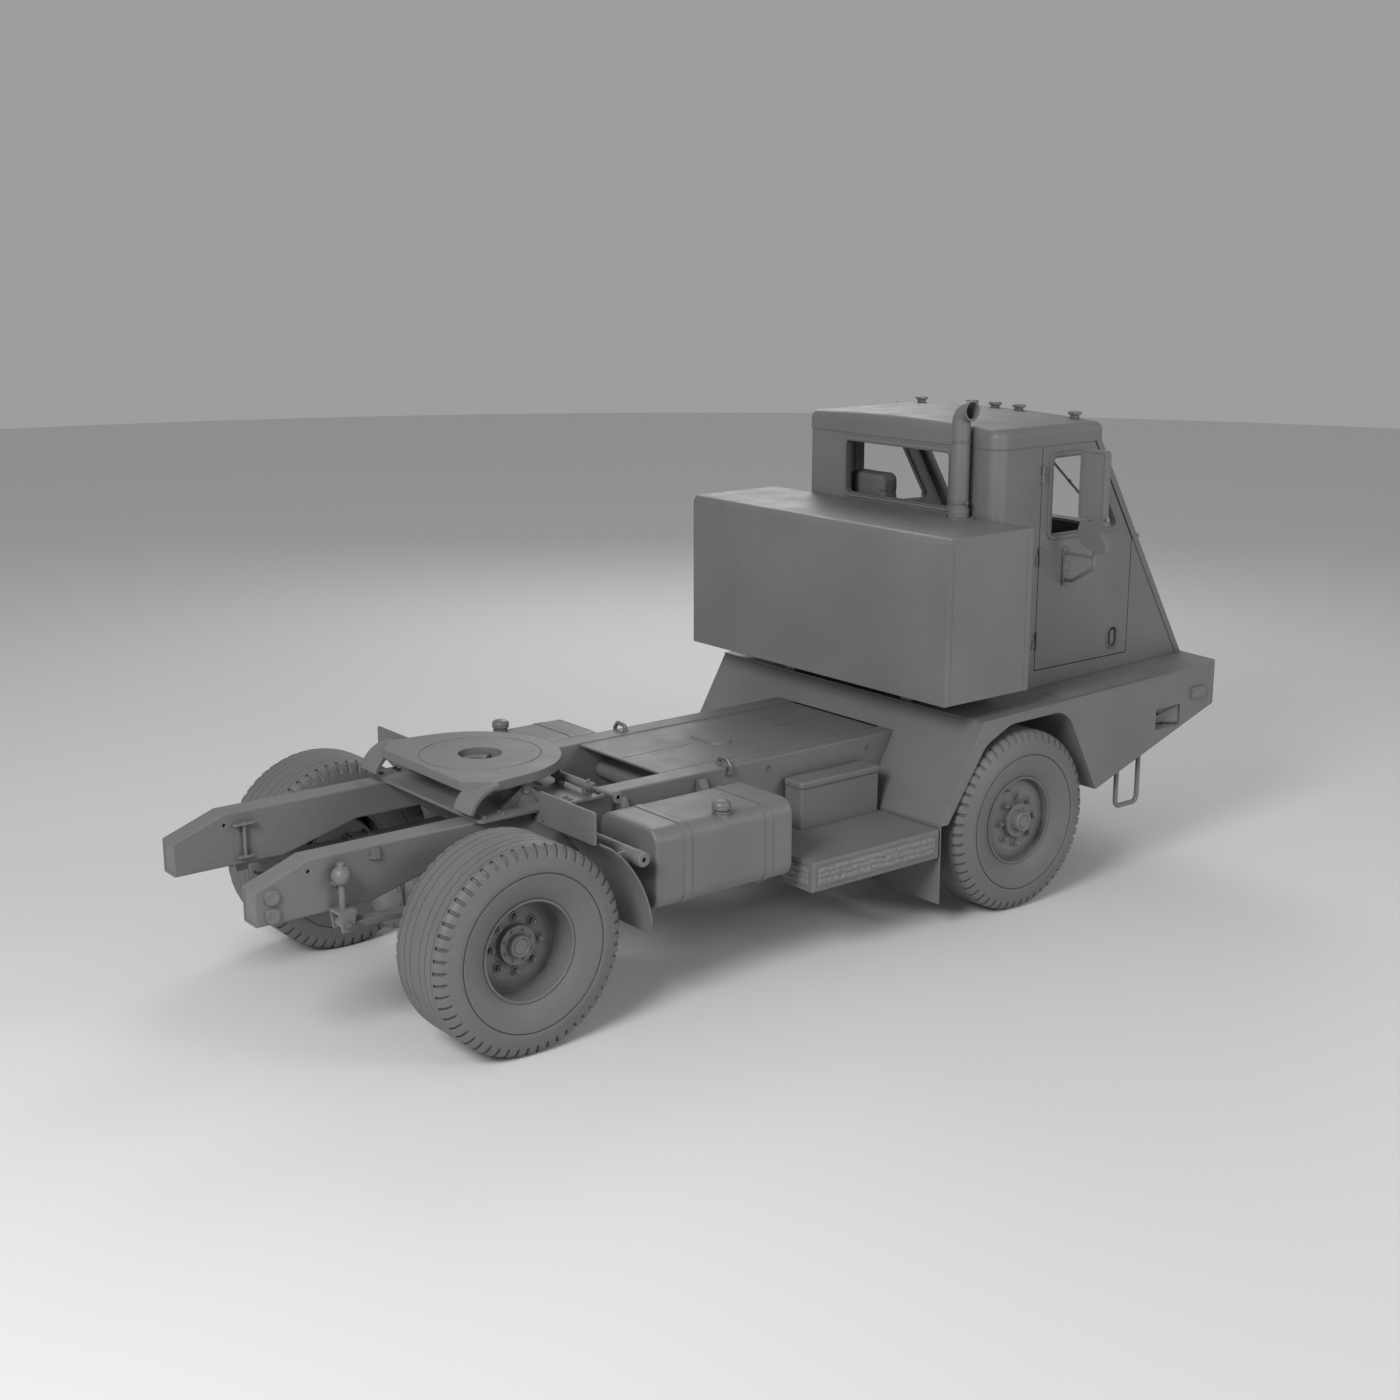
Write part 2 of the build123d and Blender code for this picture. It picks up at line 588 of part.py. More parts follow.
# Rear lamp plates: thin plates beside the rails that face rearward.
LAMP_PLATE_Y = REAR_AXLE_Y - 415
LAMP_PLATE_X = (580, 1070)
LAMP_PLATE_Z = (970, 1140)
LAMP_PLATE_T = 11
with BuildPart() as lamp_plates:
    with BuildSketch(Plane.XZ.offset(-LAMP_PLATE_Y)):
        with Locations((sum(LAMP_PLATE_X) / 2, sum(LAMP_PLATE_Z) / 2)):
            RectangleRounded(LAMP_PLATE_X[1] - LAMP_PLATE_X[0], LAMP_PLATE_Z[1] - LAMP_PLATE_Z[0], 12)
        with Locations(((RAIL_OUT_X + LAMP_PLATE_X[0] + 40) / 2, LAMP_PLATE_Z[0] + 25)):
            Rectangle(LAMP_PLATE_X[0] + 40 - RAIL_OUT_X, 50)
    extrude(amount=LAMP_PLATE_T)
    mirror(about=Plane.YZ)
lamp_plates.part.label = "lamp_plates"
export_step(lamp_plates.part, "parts/lamp_plates.step")

# Quarter mudguards ahead of the rear wheels, each on a cross tube clamped to the rail.
GUARD_TUBE_Z = 880
GUARD_TUBE_R = 38
GUARD_T = 10
GUARD_HOLE_R = 12
GUARD_X = (690, 1165)
guard_line = (
    (REAR_AXLE_Y - 440, 972),
    (REAR_AXLE_Y - 610, 770),
    (REAR_AXLE_Y - 694, 470),
)
GUSSET_T = 8
with BuildPart() as mudguards:
    with BuildSketch(Plane.YZ.offset(GUARD_X[0])):
        with BuildLine():
            inner = ThreePointArc(*guard_line)
            offset(inner, GUARD_T, side=Side.RIGHT)
        make_face()
    extrude(amount=GUARD_X[1] - GUARD_X[0])
    with BuildSketch(Plane.YZ.offset(RAIL_OUT_X)):
        with Locations((GUARD_TUBE_Y, GUARD_TUBE_Z)):
            Circle(GUARD_TUBE_R)
    extrude(amount=GUARD_X[1] + 8 - RAIL_OUT_X)
    with BuildSketch(Plane.YZ.offset(GUARD_X[1] - 22)):
        with Locations((GUARD_TUBE_Y, GUARD_TUBE_Z)):
            Circle(GUARD_HOLE_R)
    extrude(amount=30, mode=Mode.SUBTRACT)
    for x in (GUARD_X[0] + 90, GUARD_X[1] - 110):
        with BuildSketch(Plane.YZ.offset(x)):
            with BuildLine():
                Polyline(
                    (GUARD_TUBE_Y - 10, GUARD_TUBE_Z + 28),
                    (REAR_AXLE_Y - 520, GUARD_TUBE_Z + 22),
                    (REAR_AXLE_Y - 584, GUARD_TUBE_Z - 60),
                    (GUARD_TUBE_Y - 10, GUARD_TUBE_Z - 30),
                    close=True,
                )
            make_face()
        extrude(amount=GUSSET_T)
    mirror(about=Plane.YZ)
mudguards.part.label = "mudguards"
export_step(mudguards.part, "parts/mudguards.step")

# Rear enclosure: rolled top rear edge, corner strips and a bottom lip.
ROLL_R = 42
STRIP_T = 3
STRIP_W = 38
with BuildPart() as rear_box:
    with BuildSketch(Plane.YZ):
        with Locations(((BOX_FRONT_Y + BOX_REAR_Y) / 2, (BOX_BOTTOM + BOX_TOP) / 2)):
            Rectangle(BOX_REAR_Y - BOX_FRONT_Y, BOX_TOP - BOX_BOTTOM)
    extrude(amount=BOX_HALF_W - STRIP_T, both=True)
    top_edges = rear_box.edges().filter_by(Axis.X).group_by(Axis.Z)[-1]
    fillet(top_edges.sort_by(Axis.Y)[-1], radius=ROLL_R)
    for y in (BOX_FRONT_Y + STRIP_W / 2, BOX_REAR_Y - STRIP_W / 2):
        with BuildSketch(Plane.XY.offset(BOX_BOTTOM)):
            with Locations((0, y)):
                Rectangle(2 * BOX_HALF_W, STRIP_W)
        extrude(amount=BOX_TOP - BOX_BOTTOM - ROLL_R)
rear_box.part.label = "rear_box"
export_step(rear_box.part, "parts/rear_box.step")

# Exhaust stack: a bent pipe on the enclosure with a slanted open mouth.
STACK_Y = BOX_FRONT_Y + 70
STACK_WALL = 6
STACK_LIP = 6
STACK_TIP_Z = 2886
STACK_BEND_R = 76
STACK_TIP_X = STACK_X - 84
with BuildPart() as exhaust_stack:
    with BuildLine(Plane.XZ.offset(-STACK_Y)):
        stack_line = FilletPolyline(
            (STACK_X, BOX_TOP), (STACK_X, STACK_TIP_Z), (STACK_TIP_X, STACK_TIP_Z), radius=STACK_BEND_R
        )
    with BuildSketch(Plane(origin=stack_line @ 0, z_dir=stack_line % 0)):
        Circle(STACK_R)
    sweep()
    with BuildSketch(Plane(origin=stack_line @ 1, z_dir=stack_line % 1)):
        Circle(STACK_R + STACK_LIP)
        Circle(STACK_R - STACK_WALL, mode=Mode.SUBTRACT)
    extrude(amount=-STACK_LIP)
    with BuildLine(Plane.XZ.offset(-STACK_Y)):
        bore_line = FilletPolyline(
            (STACK_X, STACK_TIP_Z - STACK_BEND_R - 90),
            (STACK_X, STACK_TIP_Z),
            (STACK_TIP_X - 1, STACK_TIP_Z),
            radius=STACK_BEND_R,
        )
    with BuildSketch(Plane(origin=bore_line @ 0, z_dir=bore_line % 0)) as bore:
        Circle(STACK_R - STACK_WALL)
    sweep(sections=bore.sketch, path=bore_line, mode=Mode.SUBTRACT)
    with BuildSketch(Plane.XY.offset(BOX_TOP)):
        with Locations((STACK_X, STACK_Y)):
            Circle(STACK_R + 6)
    extrude(amount=60)
exhaust_stack.part.label = "exhaust_stack"
export_step(exhaust_stack.part, "parts/exhaust_stack.step")

# Cab shell: rear wall and side panels under the roof seam, with the door and window openings cut.
shell_outline = (
    (CAB_REAR_Y, deck_z(CAB_REAR_Y)),
    (CAB_REAR_Y, CAB_SEAM_Z),
    (nose_y(CAB_SEAM_Z, CAB_WALL), CAB_SEAM_Z),
    nose_foot(CAB_WALL),
)
DOOR_EDGE_IN = 48       # door's raked edge inside the nose's outer face
door_top = CAB_SEAM_Z - PANEL_GAP
door_outline = (
    (DOOR_REAR_Y, DOOR_BOTTOM),
    (DOOR_REAR_Y, door_top),
    (nose_y(door_top, DOOR_EDGE_IN), door_top),
    (DOOR_FRONT_Y, NOSE_FOOT_Z + (DOOR_FRONT_Y - nose_y(NOSE_FOOT_Z, DOOR_EDGE_IN)) / NOSE_RAKE),
    (DOOR_FRONT_Y, DOOR_BOTTOM),
)
opening_outline = (
    (DOOR_REAR_Y + PANEL_GAP, DOOR_BOTTOM - PANEL_GAP),
    (DOOR_REAR_Y + PANEL_GAP, CAB_SEAM_Z + 10),
    (nose_y(CAB_SEAM_Z, 0), CAB_SEAM_Z + 10),
    (nose_y(door_outline[3][1] - PANEL_GAP, 0), door_outline[3][1] - PANEL_GAP),
    (DOOR_FRONT_Y - PANEL_GAP, door_outline[3][1] - PANEL_GAP),
    (DOOR_FRONT_Y - PANEL_GAP, DOOR_BOTTOM - PANEL_GAP),
)
REAR_WINDOW = (896, 326)
REAR_WINDOW_Z = 2457
FRAME_W = 24            # raised frame round a window
FRAME_T = 8
HINGE_R = 9
HINGE_H = 50
HINGE_X = CAB_HALF_W + HINGE_R
HINGE_Y = DOOR_REAR_Y + PANEL_GAP / 2
HINGE_PIN_R = 4
LEAF_T = 4
LEAF_W = 30
hinge_zs = (DOOR_BOTTOM + 130, DOOR_BOTTOM + 640, DOOR_BOTTOM + 1130)
with BuildPart() as cab_shell:
    with BuildSketch(Plane.YZ):
        with BuildLine():
            Polyline(*shell_outline, close=True)
        make_face()
    extrude(amount=CAB_HALF_W, both=True)
    rear_corners = cab_shell.edges().filter_by(Axis.Z).group_by(Axis.Y)[-1]
    fillet(rear_corners, radius=CAB_CORNER_R)
    with BuildSketch(Plane.XY.offset(DECK_REAR_Z - 100)):
        front_y = NOSE_FOOT_Y - 100
        rear_y = CAB_REAR_Y - CAB_WALL
        with Locations((0, (front_y + rear_y) / 2)):
            Rectangle(2 * (CAB_HALF_W - CAB_WALL), rear_y - front_y)
        fillet(vertices().group_by(Axis.Y)[-1], radius=CAB_CORNER_R - CAB_WALL)
    extrude(amount=2000, mode=Mode.SUBTRACT)
    with BuildSketch(Plane.YZ):
        with BuildLine():
            Polyline(*opening_outline, close=True)
        make_face()
    extrude(amount=CAB_HALF_W + 10, both=True, mode=Mode.SUBTRACT)
    with BuildSketch(Plane.XZ.offset(-CAB_REAR_Y - 20)):
        with Locations((0, REAR_WINDOW_Z)):
            RectangleRounded(*REAR_WINDOW, WINDOW_R)
    extrude(amount=CAB_WALL + 60, mode=Mode.SUBTRACT)
    with BuildSketch(Plane.XZ.offset(-CAB_REAR_Y)):
        with Locations((0, REAR_WINDOW_Z)):
            RectangleRounded(REAR_WINDOW[0] + 2 * FRAME_W, REAR_WINDOW[1] + 2 * FRAME_W, WINDOW_R + FRAME_W)
            RectangleRounded(*REAR_WINDOW, WINDOW_R, mode=Mode.SUBTRACT)
    extrude(amount=-FRAME_T)
    for side in (1, -1):
        for z in hinge_zs:
            with BuildSketch(Plane.XY.offset(z)):
                with Locations((side * HINGE_X, HINGE_Y)):
                    Circle(HINGE_R)
                with Locations((side * (CAB_HALF_W + LEAF_T / 2), HINGE_Y + LEAF_W / 2)):
                    Rectangle(LEAF_T, LEAF_W)
            extrude(amount=HINGE_H)
            with BuildSketch(Plane.XY.offset(z + HINGE_H)):
                with Locations((side * HINGE_X, HINGE_Y)):
                    Circle(HINGE_PIN_R)
            extrude(amount=HINGE_H)
cab_shell.part.label = "cab_shell"
export_step(cab_shell.part, "parts/cab_shell.step")

# Raked nose: lower panel, lip and windscreen frame in one sloping slab.
SCREEN_BOTTOM = LIP_Z + 55
SCREEN_TOP = 2612
SCREEN_W = 1470
LIP_OUT = 16
NOSE_PROUD = 5          # nose slab's overhang past the side panels
nose_outline = (
    nose_foot(),
    (nose_y(LIP_Z - 12), LIP_Z - 12),
    (nose_y(LIP_Z - 12, -LIP_OUT), LIP_Z - 12),
    (nose_y(LIP_Z + 12, -LIP_OUT), LIP_Z + 12),
    (nose_y(LIP_Z + 12), LIP_Z + 12),
    (nose_y(CAB_SEAM_Z), CAB_SEAM_Z),
    (nose_y(CAB_SEAM_Z, CAB_WALL), CAB_SEAM_Z),
    nose_foot(CAB_WALL),
)
rake_angle = degrees(atan(NOSE_RAKE))
screen_mid_z = (SCREEN_BOTTOM + SCREEN_TOP) / 2
nose_plane = Plane(
    origin=(0, nose_y(screen_mid_z), screen_mid_z),
    x_dir=(1, 0, 0),
    z_dir=(0, -cos(radians(rake_angle)), sin(radians(rake_angle))),
)
with BuildPart() as cab_nose:
    with BuildSketch(Plane.YZ):
        with BuildLine():
            Polyline(*nose_outline, close=True)
        make_face()
    extrude(amount=CAB_HALF_W + NOSE_PROUD, both=True)
    with BuildSketch(nose_plane.offset(LIP_OUT + 20)):
        RectangleRounded(SCREEN_W, (SCREEN_TOP - SCREEN_BOTTOM) / cos(radians(rake_angle)), WINDOW_R)
    extrude(amount=-(CAB_WALL + LIP_OUT + 80), mode=Mode.SUBTRACT)
cab_nose.part.label = "cab_nose"
export_step(cab_nose.part, "parts/cab_nose.step")

# Cab roof: crowned cap with rounded edges, hollow below.
ROOF_OVERHANG = 4
ROOF_LINING = 45
ROOF_R = 52
roof_mid_y = (ROOF_FRONT_Y + CAB_REAR_Y + ROOF_OVERHANG) / 2
roof_len = CAB_REAR_Y + ROOF_OVERHANG - ROOF_FRONT_Y
with BuildPart() as cab_roof:
    with BuildSketch(Plane.XZ.offset(-ROOF_FRONT_Y)):
        with BuildLine():
            roof_x = CAB_HALF_W + ROOF_OVERHANG
            ThreePointArc((-roof_x, ROOF_EDGE_Z), (0, ROOF_CROWN_Z), (roof_x, ROOF_EDGE_Z))
            Polyline(
                (roof_x, ROOF_EDGE_Z),
                (roof_x, CAB_SEAM_Z),
                (-roof_x, CAB_SEAM_Z),
                (-roof_x, ROOF_EDGE_Z),
            )
        make_face()
    extrude(amount=-roof_len)
    fillet(cab_roof.edges().filter_by(Axis.Z).group_by(Axis.Y)[-1], radius=CAB_CORNER_R)
    fillet(cab_roof.edges().filter_by(Axis.Z).group_by(Axis.Y)[0], radius=CAB_WALL)
    fillet(cab_roof.faces().sort_by(Axis.Z)[-1].edges(), radius=ROOF_R)
    with BuildSketch(Plane.XY.offset(CAB_SEAM_Z)):
        inner_front_y = nose_y(CAB_SEAM_Z, CAB_WALL)
        inner_rear_y = CAB_REAR_Y - CAB_WALL
        with Locations((0, (inner_front_y + inner_rear_y) / 2)):
            RectangleRounded(2 * (CAB_HALF_W - CAB_WALL), inner_rear_y - inner_front_y, 40)
    extrude(amount=ROOF_EDGE_Z - ROOF_LINING - CAB_SEAM_Z, mode=Mode.SUBTRACT)
cab_roof.part.label = "cab_roof"
export_step(cab_roof.part, "parts/cab_roof.step")

# Roof marker lamps, cut to the roof's crown.
MARKER_Y = ROOF_FRONT_Y + 75
HOOD_H = 18
# Each row is a lamp's centre x and the height of its top.
marker_rows = (
    (0, 2837),
    (200, 2836),
    (-200, 2836),
    (652, 2826),
    (-652, 2826),
)
with BuildPart() as roof_lamps:
    for x, top_z in marker_rows:
        with BuildSketch(Plane.XY.offset(ROOF_EDGE_Z - 30)):
            with Locations((x, MARKER_Y)):
                SlotOverall(62, 40)
        extrude(amount=top_z - HOOD_H - ROOF_EDGE_Z + 30)
        with BuildSketch(Plane.XY.offset(top_z - HOOD_H)):
            with Locations((x, MARKER_Y)):
                SlotOverall(92, 56)
        extrude(amount=HOOD_H)
    hood_tops = roof_lamps.faces().filter_by(Axis.Z).filter_by(lambda f: f.center().Z > ROOF_CROWN_Z + 20)
    fillet(hood_tops.edges(), radius=9)
    add(Pos(0, 0, SEAT_GAP) * cab_roof.part, mode=Mode.SUBTRACT)
roof_lamps.part.label = "roof_lamps"
export_step(roof_lamps.part, "parts/roof_lamps.step")

# Cab floor on the deck.
floor_rear_y = CAB_REAR_Y - CAB_WALL
floor_front_y = nose_y(FLOOR_TOP, CAB_WALL)
with BuildPart() as cab_floor:
    with BuildSketch(Plane.YZ):
        with BuildLine():
            Polyline(
                (floor_rear_y, deck_z(floor_rear_y)),
                (floor_rear_y, FLOOR_TOP),
                (floor_front_y, FLOOR_TOP),
                (floor_front_y, deck_z(floor_front_y)),
                close=True,
            )
        make_face()
    extrude(amount=CAB_HALF_W - CAB_WALL, both=True)
    fillet(cab_floor.edges().filter_by(Axis.Z).group_by(Axis.Y)[-1], radius=CAB_CORNER_R - CAB_WALL)
cab_floor.part.label = "cab_floor"
export_step(cab_floor.part, "parts/cab_floor.step")

# Dashboard with the steering column.
DASH_TOP = 1960
DASH_LOW = 1560
DASH_REAR_Y = nose_y(DASH_TOP, CAB_WALL) + 190
DRIVER_X = CAB_HALF_W - 395
WHEEL_R = 225
WHEEL_TILT = 30
WHEEL_Y = DASH_REAR_Y + 130
WHEEL_Z = 2010
COLUMN_R = 28
dash_outline = (
    (nose_y(DASH_LOW, CAB_WALL), DASH_LOW),
    (nose_y(DASH_TOP, CAB_WALL), DASH_TOP),
    (DASH_REAR_Y - 60, DASH_TOP),
    (DASH_REAR_Y, DASH_TOP - 50),
    (DASH_REAR_Y - 40, DASH_LOW + 120),
    (DASH_REAR_Y - 130, DASH_LOW),
)
column_plane = Plane(
    origin=(DRIVER_X, WHEEL_Y, WHEEL_Z),
    x_dir=(1, 0, 0),
    z_dir=(0, sin(radians(WHEEL_TILT)), cos(radians(WHEEL_TILT))),
)
COLUMN_TOP = 46
with BuildPart() as dashboard:
    with BuildSketch(Plane.YZ):
        with BuildLine():
            Polyline(*dash_outline, close=True)
        make_face()
    extrude(amount=CAB_HALF_W - CAB_WALL - 4, both=True)
    with BuildSketch(column_plane.offset(-COLUMN_TOP)):
        Circle(COLUMN_R)
    extrude(amount=-260)
    with BuildSketch(Plane.XY.offset(FLOOR_TOP)):
        with Locations((DRIVER_X, DASH_REAR_Y - 220)):
            Rectangle(160, 140)
    extrude(amount=DASH_LOW + 60 - FLOOR_TOP)
dashboard.part.label = "dashboard"
export_step(dashboard.part, "parts/dashboard.step")

# Steering wheel: rim, three spokes and hub on the raked column.
WHEEL_RIM_R = 15
with BuildPart() as steering_wheel:
    with BuildSketch(Plane(origin=column_plane.origin, x_dir=column_plane.x_dir, z_dir=-column_plane.y_dir)):
        with Locations((WHEEL_R - WHEEL_RIM_R, 0)):
            Circle(WHEEL_RIM_R)
    revolve(axis=Axis(column_plane.origin, column_plane.z_dir))
    with BuildSketch(column_plane.offset(-COLUMN_TOP + SEAT_GAP)):
        Circle(40)
    extrude(amount=COLUMN_TOP - 10, taper=8)
    for angle in (90, 210, 330):
        with BuildSketch(column_plane.offset(-22)):
            with PolarLocations(0, 1, start_angle=angle):
                with Locations((WHEEL_R / 2 - 5, 0)):
                    Rectangle(WHEEL_R - 30, 30)
        extrude(amount=12)
steering_wheel.part.label = "steering_wheel"
export_step(steering_wheel.part, "parts/steering_wheel.step")

# Driver's seat: pedestal, cushion and backrest.
SEAT_REAR_Y = CAB_REAR_Y - 330
SEAT_W = 500
CUSHION_L = 480
CUSHION_Z = 1640
CUSHION_H = 125
BACK_T = 120
BACK_TOP = 2450
BACK_W = 370
with BuildPart() as seat_base:
    with BuildSketch(Plane.XY.offset(FLOOR_TOP)):
        with Locations((DRIVER_X, SEAT_REAR_Y - CUSHION_L / 2)):
            RectangleRounded(300, 340, 30)
    extrude(amount=CUSHION_Z - 40 - FLOOR_TOP, taper=4)
    with BuildSketch(Plane.XY.offset(CUSHION_Z - 40)):
        with Locations((DRIVER_X, SEAT_REAR_Y - CUSHION_L / 2 + 20)):
            RectangleRounded(SEAT_W - 40, CUSHION_L + 20, 30)
    extrude(amount=40 - SEAT_GAP)
seat_base.part.label = "seat_base"
export_step(seat_base.part, "parts/seat_base.step")

with BuildPart() as seat_cushion:
    with BuildSketch(Plane.XY.offset(CUSHION_Z)):
        with Locations((DRIVER_X, SEAT_REAR_Y - CUSHION_L / 2 - 30)):
            RectangleRounded(SEAT_W, CUSHION_L, 60)
    extrude(amount=CUSHION_H)
    fillet(seat_cushion.faces().sort_by(Axis.Z)[-1].edges(), radius=35)
seat_cushion.part.label = "seat_cushion"
export_step(seat_cushion.part, "parts/seat_cushion.step")

back_plane = Plane(origin=(DRIVER_X, SEAT_REAR_Y - 28, CUSHION_Z + 2), x_dir=(1, 0, 0), z_dir=(0, -1, 0.12))
with BuildPart() as seat_back:
    with BuildSketch(back_plane):
        with Locations((0, (BACK_TOP - CUSHION_Z) / 2)):
            RectangleRounded(BACK_W, BACK_TOP - CUSHION_Z - 10, 55)
    extrude(amount=-BACK_T)
    fillet(seat_back.faces().sort_by(Axis.Y)[0].edges(), radius=30)
seat_back.part.label = "seat_back"
export_step(seat_back.part, "parts/seat_back.step")

# Doors with a raked front edge, the side window, a recessed pull and hinge knuckles on the rear edge.
side_window = (
    (DOOR_REAR_Y - 80, 2127),
    (DOOR_REAR_Y - 80, 2592),
    (nose_y(2592, DOOR_EDGE_IN + 78), 2592),
    (nose_y(2127, DOOR_EDGE_IN + 78), 2127),
)
PULL_Y = DOOR_FRONT_Y + 140
PULL_Z = 1430
PULL_DEPTH = 14
with BuildPart() as door_left:
    with BuildSketch(Plane.YZ.offset(CAB_HALF_W - CAB_WALL)):
        with BuildLine():
            Polyline(*door_outline, close=True)
        make_face()
        with BuildLine():
            FilletPolyline(*side_window, radius=WINDOW_R, close=True)
        make_face(mode=Mode.SUBTRACT)
    extrude(amount=CAB_WALL)
    with BuildSketch(Plane.YZ.offset(CAB_HALF_W)):
        with BuildLine():
            opening = FilletPolyline(*side_window, radius=WINDOW_R, close=True)
            offset(opening, FRAME_W, side=Side.BOTH)
        make_face()
        with BuildLine():
            FilletPolyline(*side_window, radius=WINDOW_R, close=True)
        make_face(mode=Mode.SUBTRACT)
    extrude(amount=FRAME_T)
    with BuildSketch(Plane.YZ.offset(CAB_HALF_W)):
        with Locations((PULL_Y, PULL_Z)):
            SlotOverall(152, 104, rotation=90)
    extrude(amount=4)
    with BuildSketch(Plane.YZ.offset(CAB_HALF_W + 4)):
        with Locations((PULL_Y, PULL_Z)):
            SlotOverall(130, 82, rotation=90)
    extrude(amount=-4 - PULL_DEPTH, mode=Mode.SUBTRACT)
    with BuildSketch(Plane.YZ.offset(CAB_HALF_W - PULL_DEPTH)):
        with Locations((PULL_Y - 6, PULL_Z)):
            RectangleRounded(34, 84, 8)
    extrude(amount=PULL_DEPTH - 2)
    for z in hinge_zs:
        with BuildSketch(Plane.XY.offset(z + HINGE_H + SEAT_GAP)):
            with Locations((HINGE_X, HINGE_Y)):
                Circle(HINGE_R)
            with Locations((CAB_HALF_W + LEAF_T / 2, HINGE_Y - LEAF_W / 2)):
                Rectangle(LEAF_T, LEAF_W)
            with Locations((HINGE_X, HINGE_Y)):
                Circle(HINGE_PIN_R + SEAT_GAP, mode=Mode.SUBTRACT)
        extrude(amount=HINGE_H)
door_left.part.label = "door_left"
export_step(door_left.part, "parts/door_left.step")

with BuildPart() as door_right:
    mirror(door_left.part, about=Plane.YZ)
door_right.part.label = "door_right"
export_step(door_right.part, "parts/door_right.step")

# Mirrors: a bracket off the door, an outer pole, the tall head and the round-cornered lower unit.
MIRROR_Y = FRONT_AXLE_Y - 660
POLE_X = 1062
POLE_R = 11
ARM_R = 13
HEAD_X = (970, 1160)
HEAD_Z = (2240, 2650)
HEAD_T = 46
GLASS_IN = 14
GLASS_DEPTH = 3
low_unit = (
    (988, 2227), (1150, 2246), (1185, 2225), (1140, 2178), (1186, 2118),
    (1186, 2059), (1129, 2044), (1007, 2094), (964, 2148),
)
with BuildPart() as mirror_left:
    with BuildLine():
        arm = FilletPolyline(
            (CAB_HALF_W, MIRROR_Y - 16, 1845),
            (CAB_HALF_W + 60, MIRROR_Y - 16, 1845),
            (POLE_X, MIRROR_Y, 1950),
            (POLE_X, MIRROR_Y, HEAD_Z[1] - 40),
            radius=30,
        )
    with BuildSketch(Plane(origin=arm @ 0, z_dir=arm % 0)):
        Circle(POLE_R)
    sweep()
    with BuildSketch(Plane.YZ.offset(CAB_HALF_W)):
        with Locations((MIRROR_Y - 16, 2010)):
            Circle(ARM_R - 3)
    extrude(amount=POLE_X - CAB_HALF_W)
    with BuildSketch(Plane.YZ.offset(CAB_HALF_W)):
        with Locations((MIRROR_Y - 16, 1927)):
            RectangleRounded(50, 230, 12)
    extrude(amount=10)
    with BuildSketch(Plane.XZ.offset(-MIRROR_Y - 8)):
        with Locations((sum(HEAD_X) / 2, sum(HEAD_Z) / 2)):
            RectangleRounded(HEAD_X[1] - HEAD_X[0], HEAD_Z[1] - HEAD_Z[0], 26)
        with BuildLine():
            FilletPolyline(*low_unit, radius=14, close=True)
        make_face()
    extrude(amount=-HEAD_T)
    with BuildSketch(Plane.XZ.offset(-MIRROR_Y - 8 - HEAD_T)):
        with Locations((sum(HEAD_X) / 2, sum(HEAD_Z) / 2)):
            RectangleRounded(HEAD_X[1] - HEAD_X[0] - 2 * GLASS_IN, HEAD_Z[1] - HEAD_Z[0] - 2 * GLASS_IN, 14)
    extrude(amount=GLASS_DEPTH, mode=Mode.SUBTRACT)
mirror_left.part.label = "mirror_left"
export_step(mirror_left.part, "parts/mirror_left.step")

with BuildPart() as mirror_right:
    mirror(mirror_left.part, about=Plane.YZ)
mirror_right.part.label = "mirror_right"
export_step(mirror_right.part, "parts/mirror_right.step")

# Engine and gearbox: one plain block on side mounts between the rails.
ENGINE_HALF_W = 300
ENGINE_Z = (640, 1016)
GEARBOX_Z = (690, 940)
ENGINE_FRONT_Y = FRONT_AXLE_Y - 900
ENGINE_REAR_Y = FRONT_AXLE_Y - 60
GEARBOX_REAR_Y = FRONT_AXLE_Y + 430
SHAFT_FRONT_Z = 790
with BuildPart() as engine:
    with BuildSketch(Plane.XY.offset(ENGINE_Z[0])):
        with Locations((0, (ENGINE_FRONT_Y + ENGINE_REAR_Y) / 2)):
            Rectangle(2 * ENGINE_HALF_W, ENGINE_REAR_Y - ENGINE_FRONT_Y)
    extrude(amount=ENGINE_Z[1] - ENGINE_Z[0])
    with BuildSketch(Plane.XY.offset(GEARBOX_Z[0])):
        with Locations((0, (ENGINE_REAR_Y + GEARBOX_REAR_Y) / 2)):
            Rectangle(1.2 * ENGINE_HALF_W, GEARBOX_REAR_Y - ENGINE_REAR_Y)
    extrude(amount=GEARBOX_Z[1] - GEARBOX_Z[0])
    with BuildSketch(Plane.YZ):
        with Locations((ENGINE_FRONT_Y + 150, 800), (ENGINE_REAR_Y - 150, 800)):
            Rectangle(100, 90)
    extrude(amount=RAIL_IN_X, both=True)
engine.part.label = "engine"
export_step(engine.part, "parts/engine.step")

REAR_SPRING_X = RAIL_OUT_X + 51

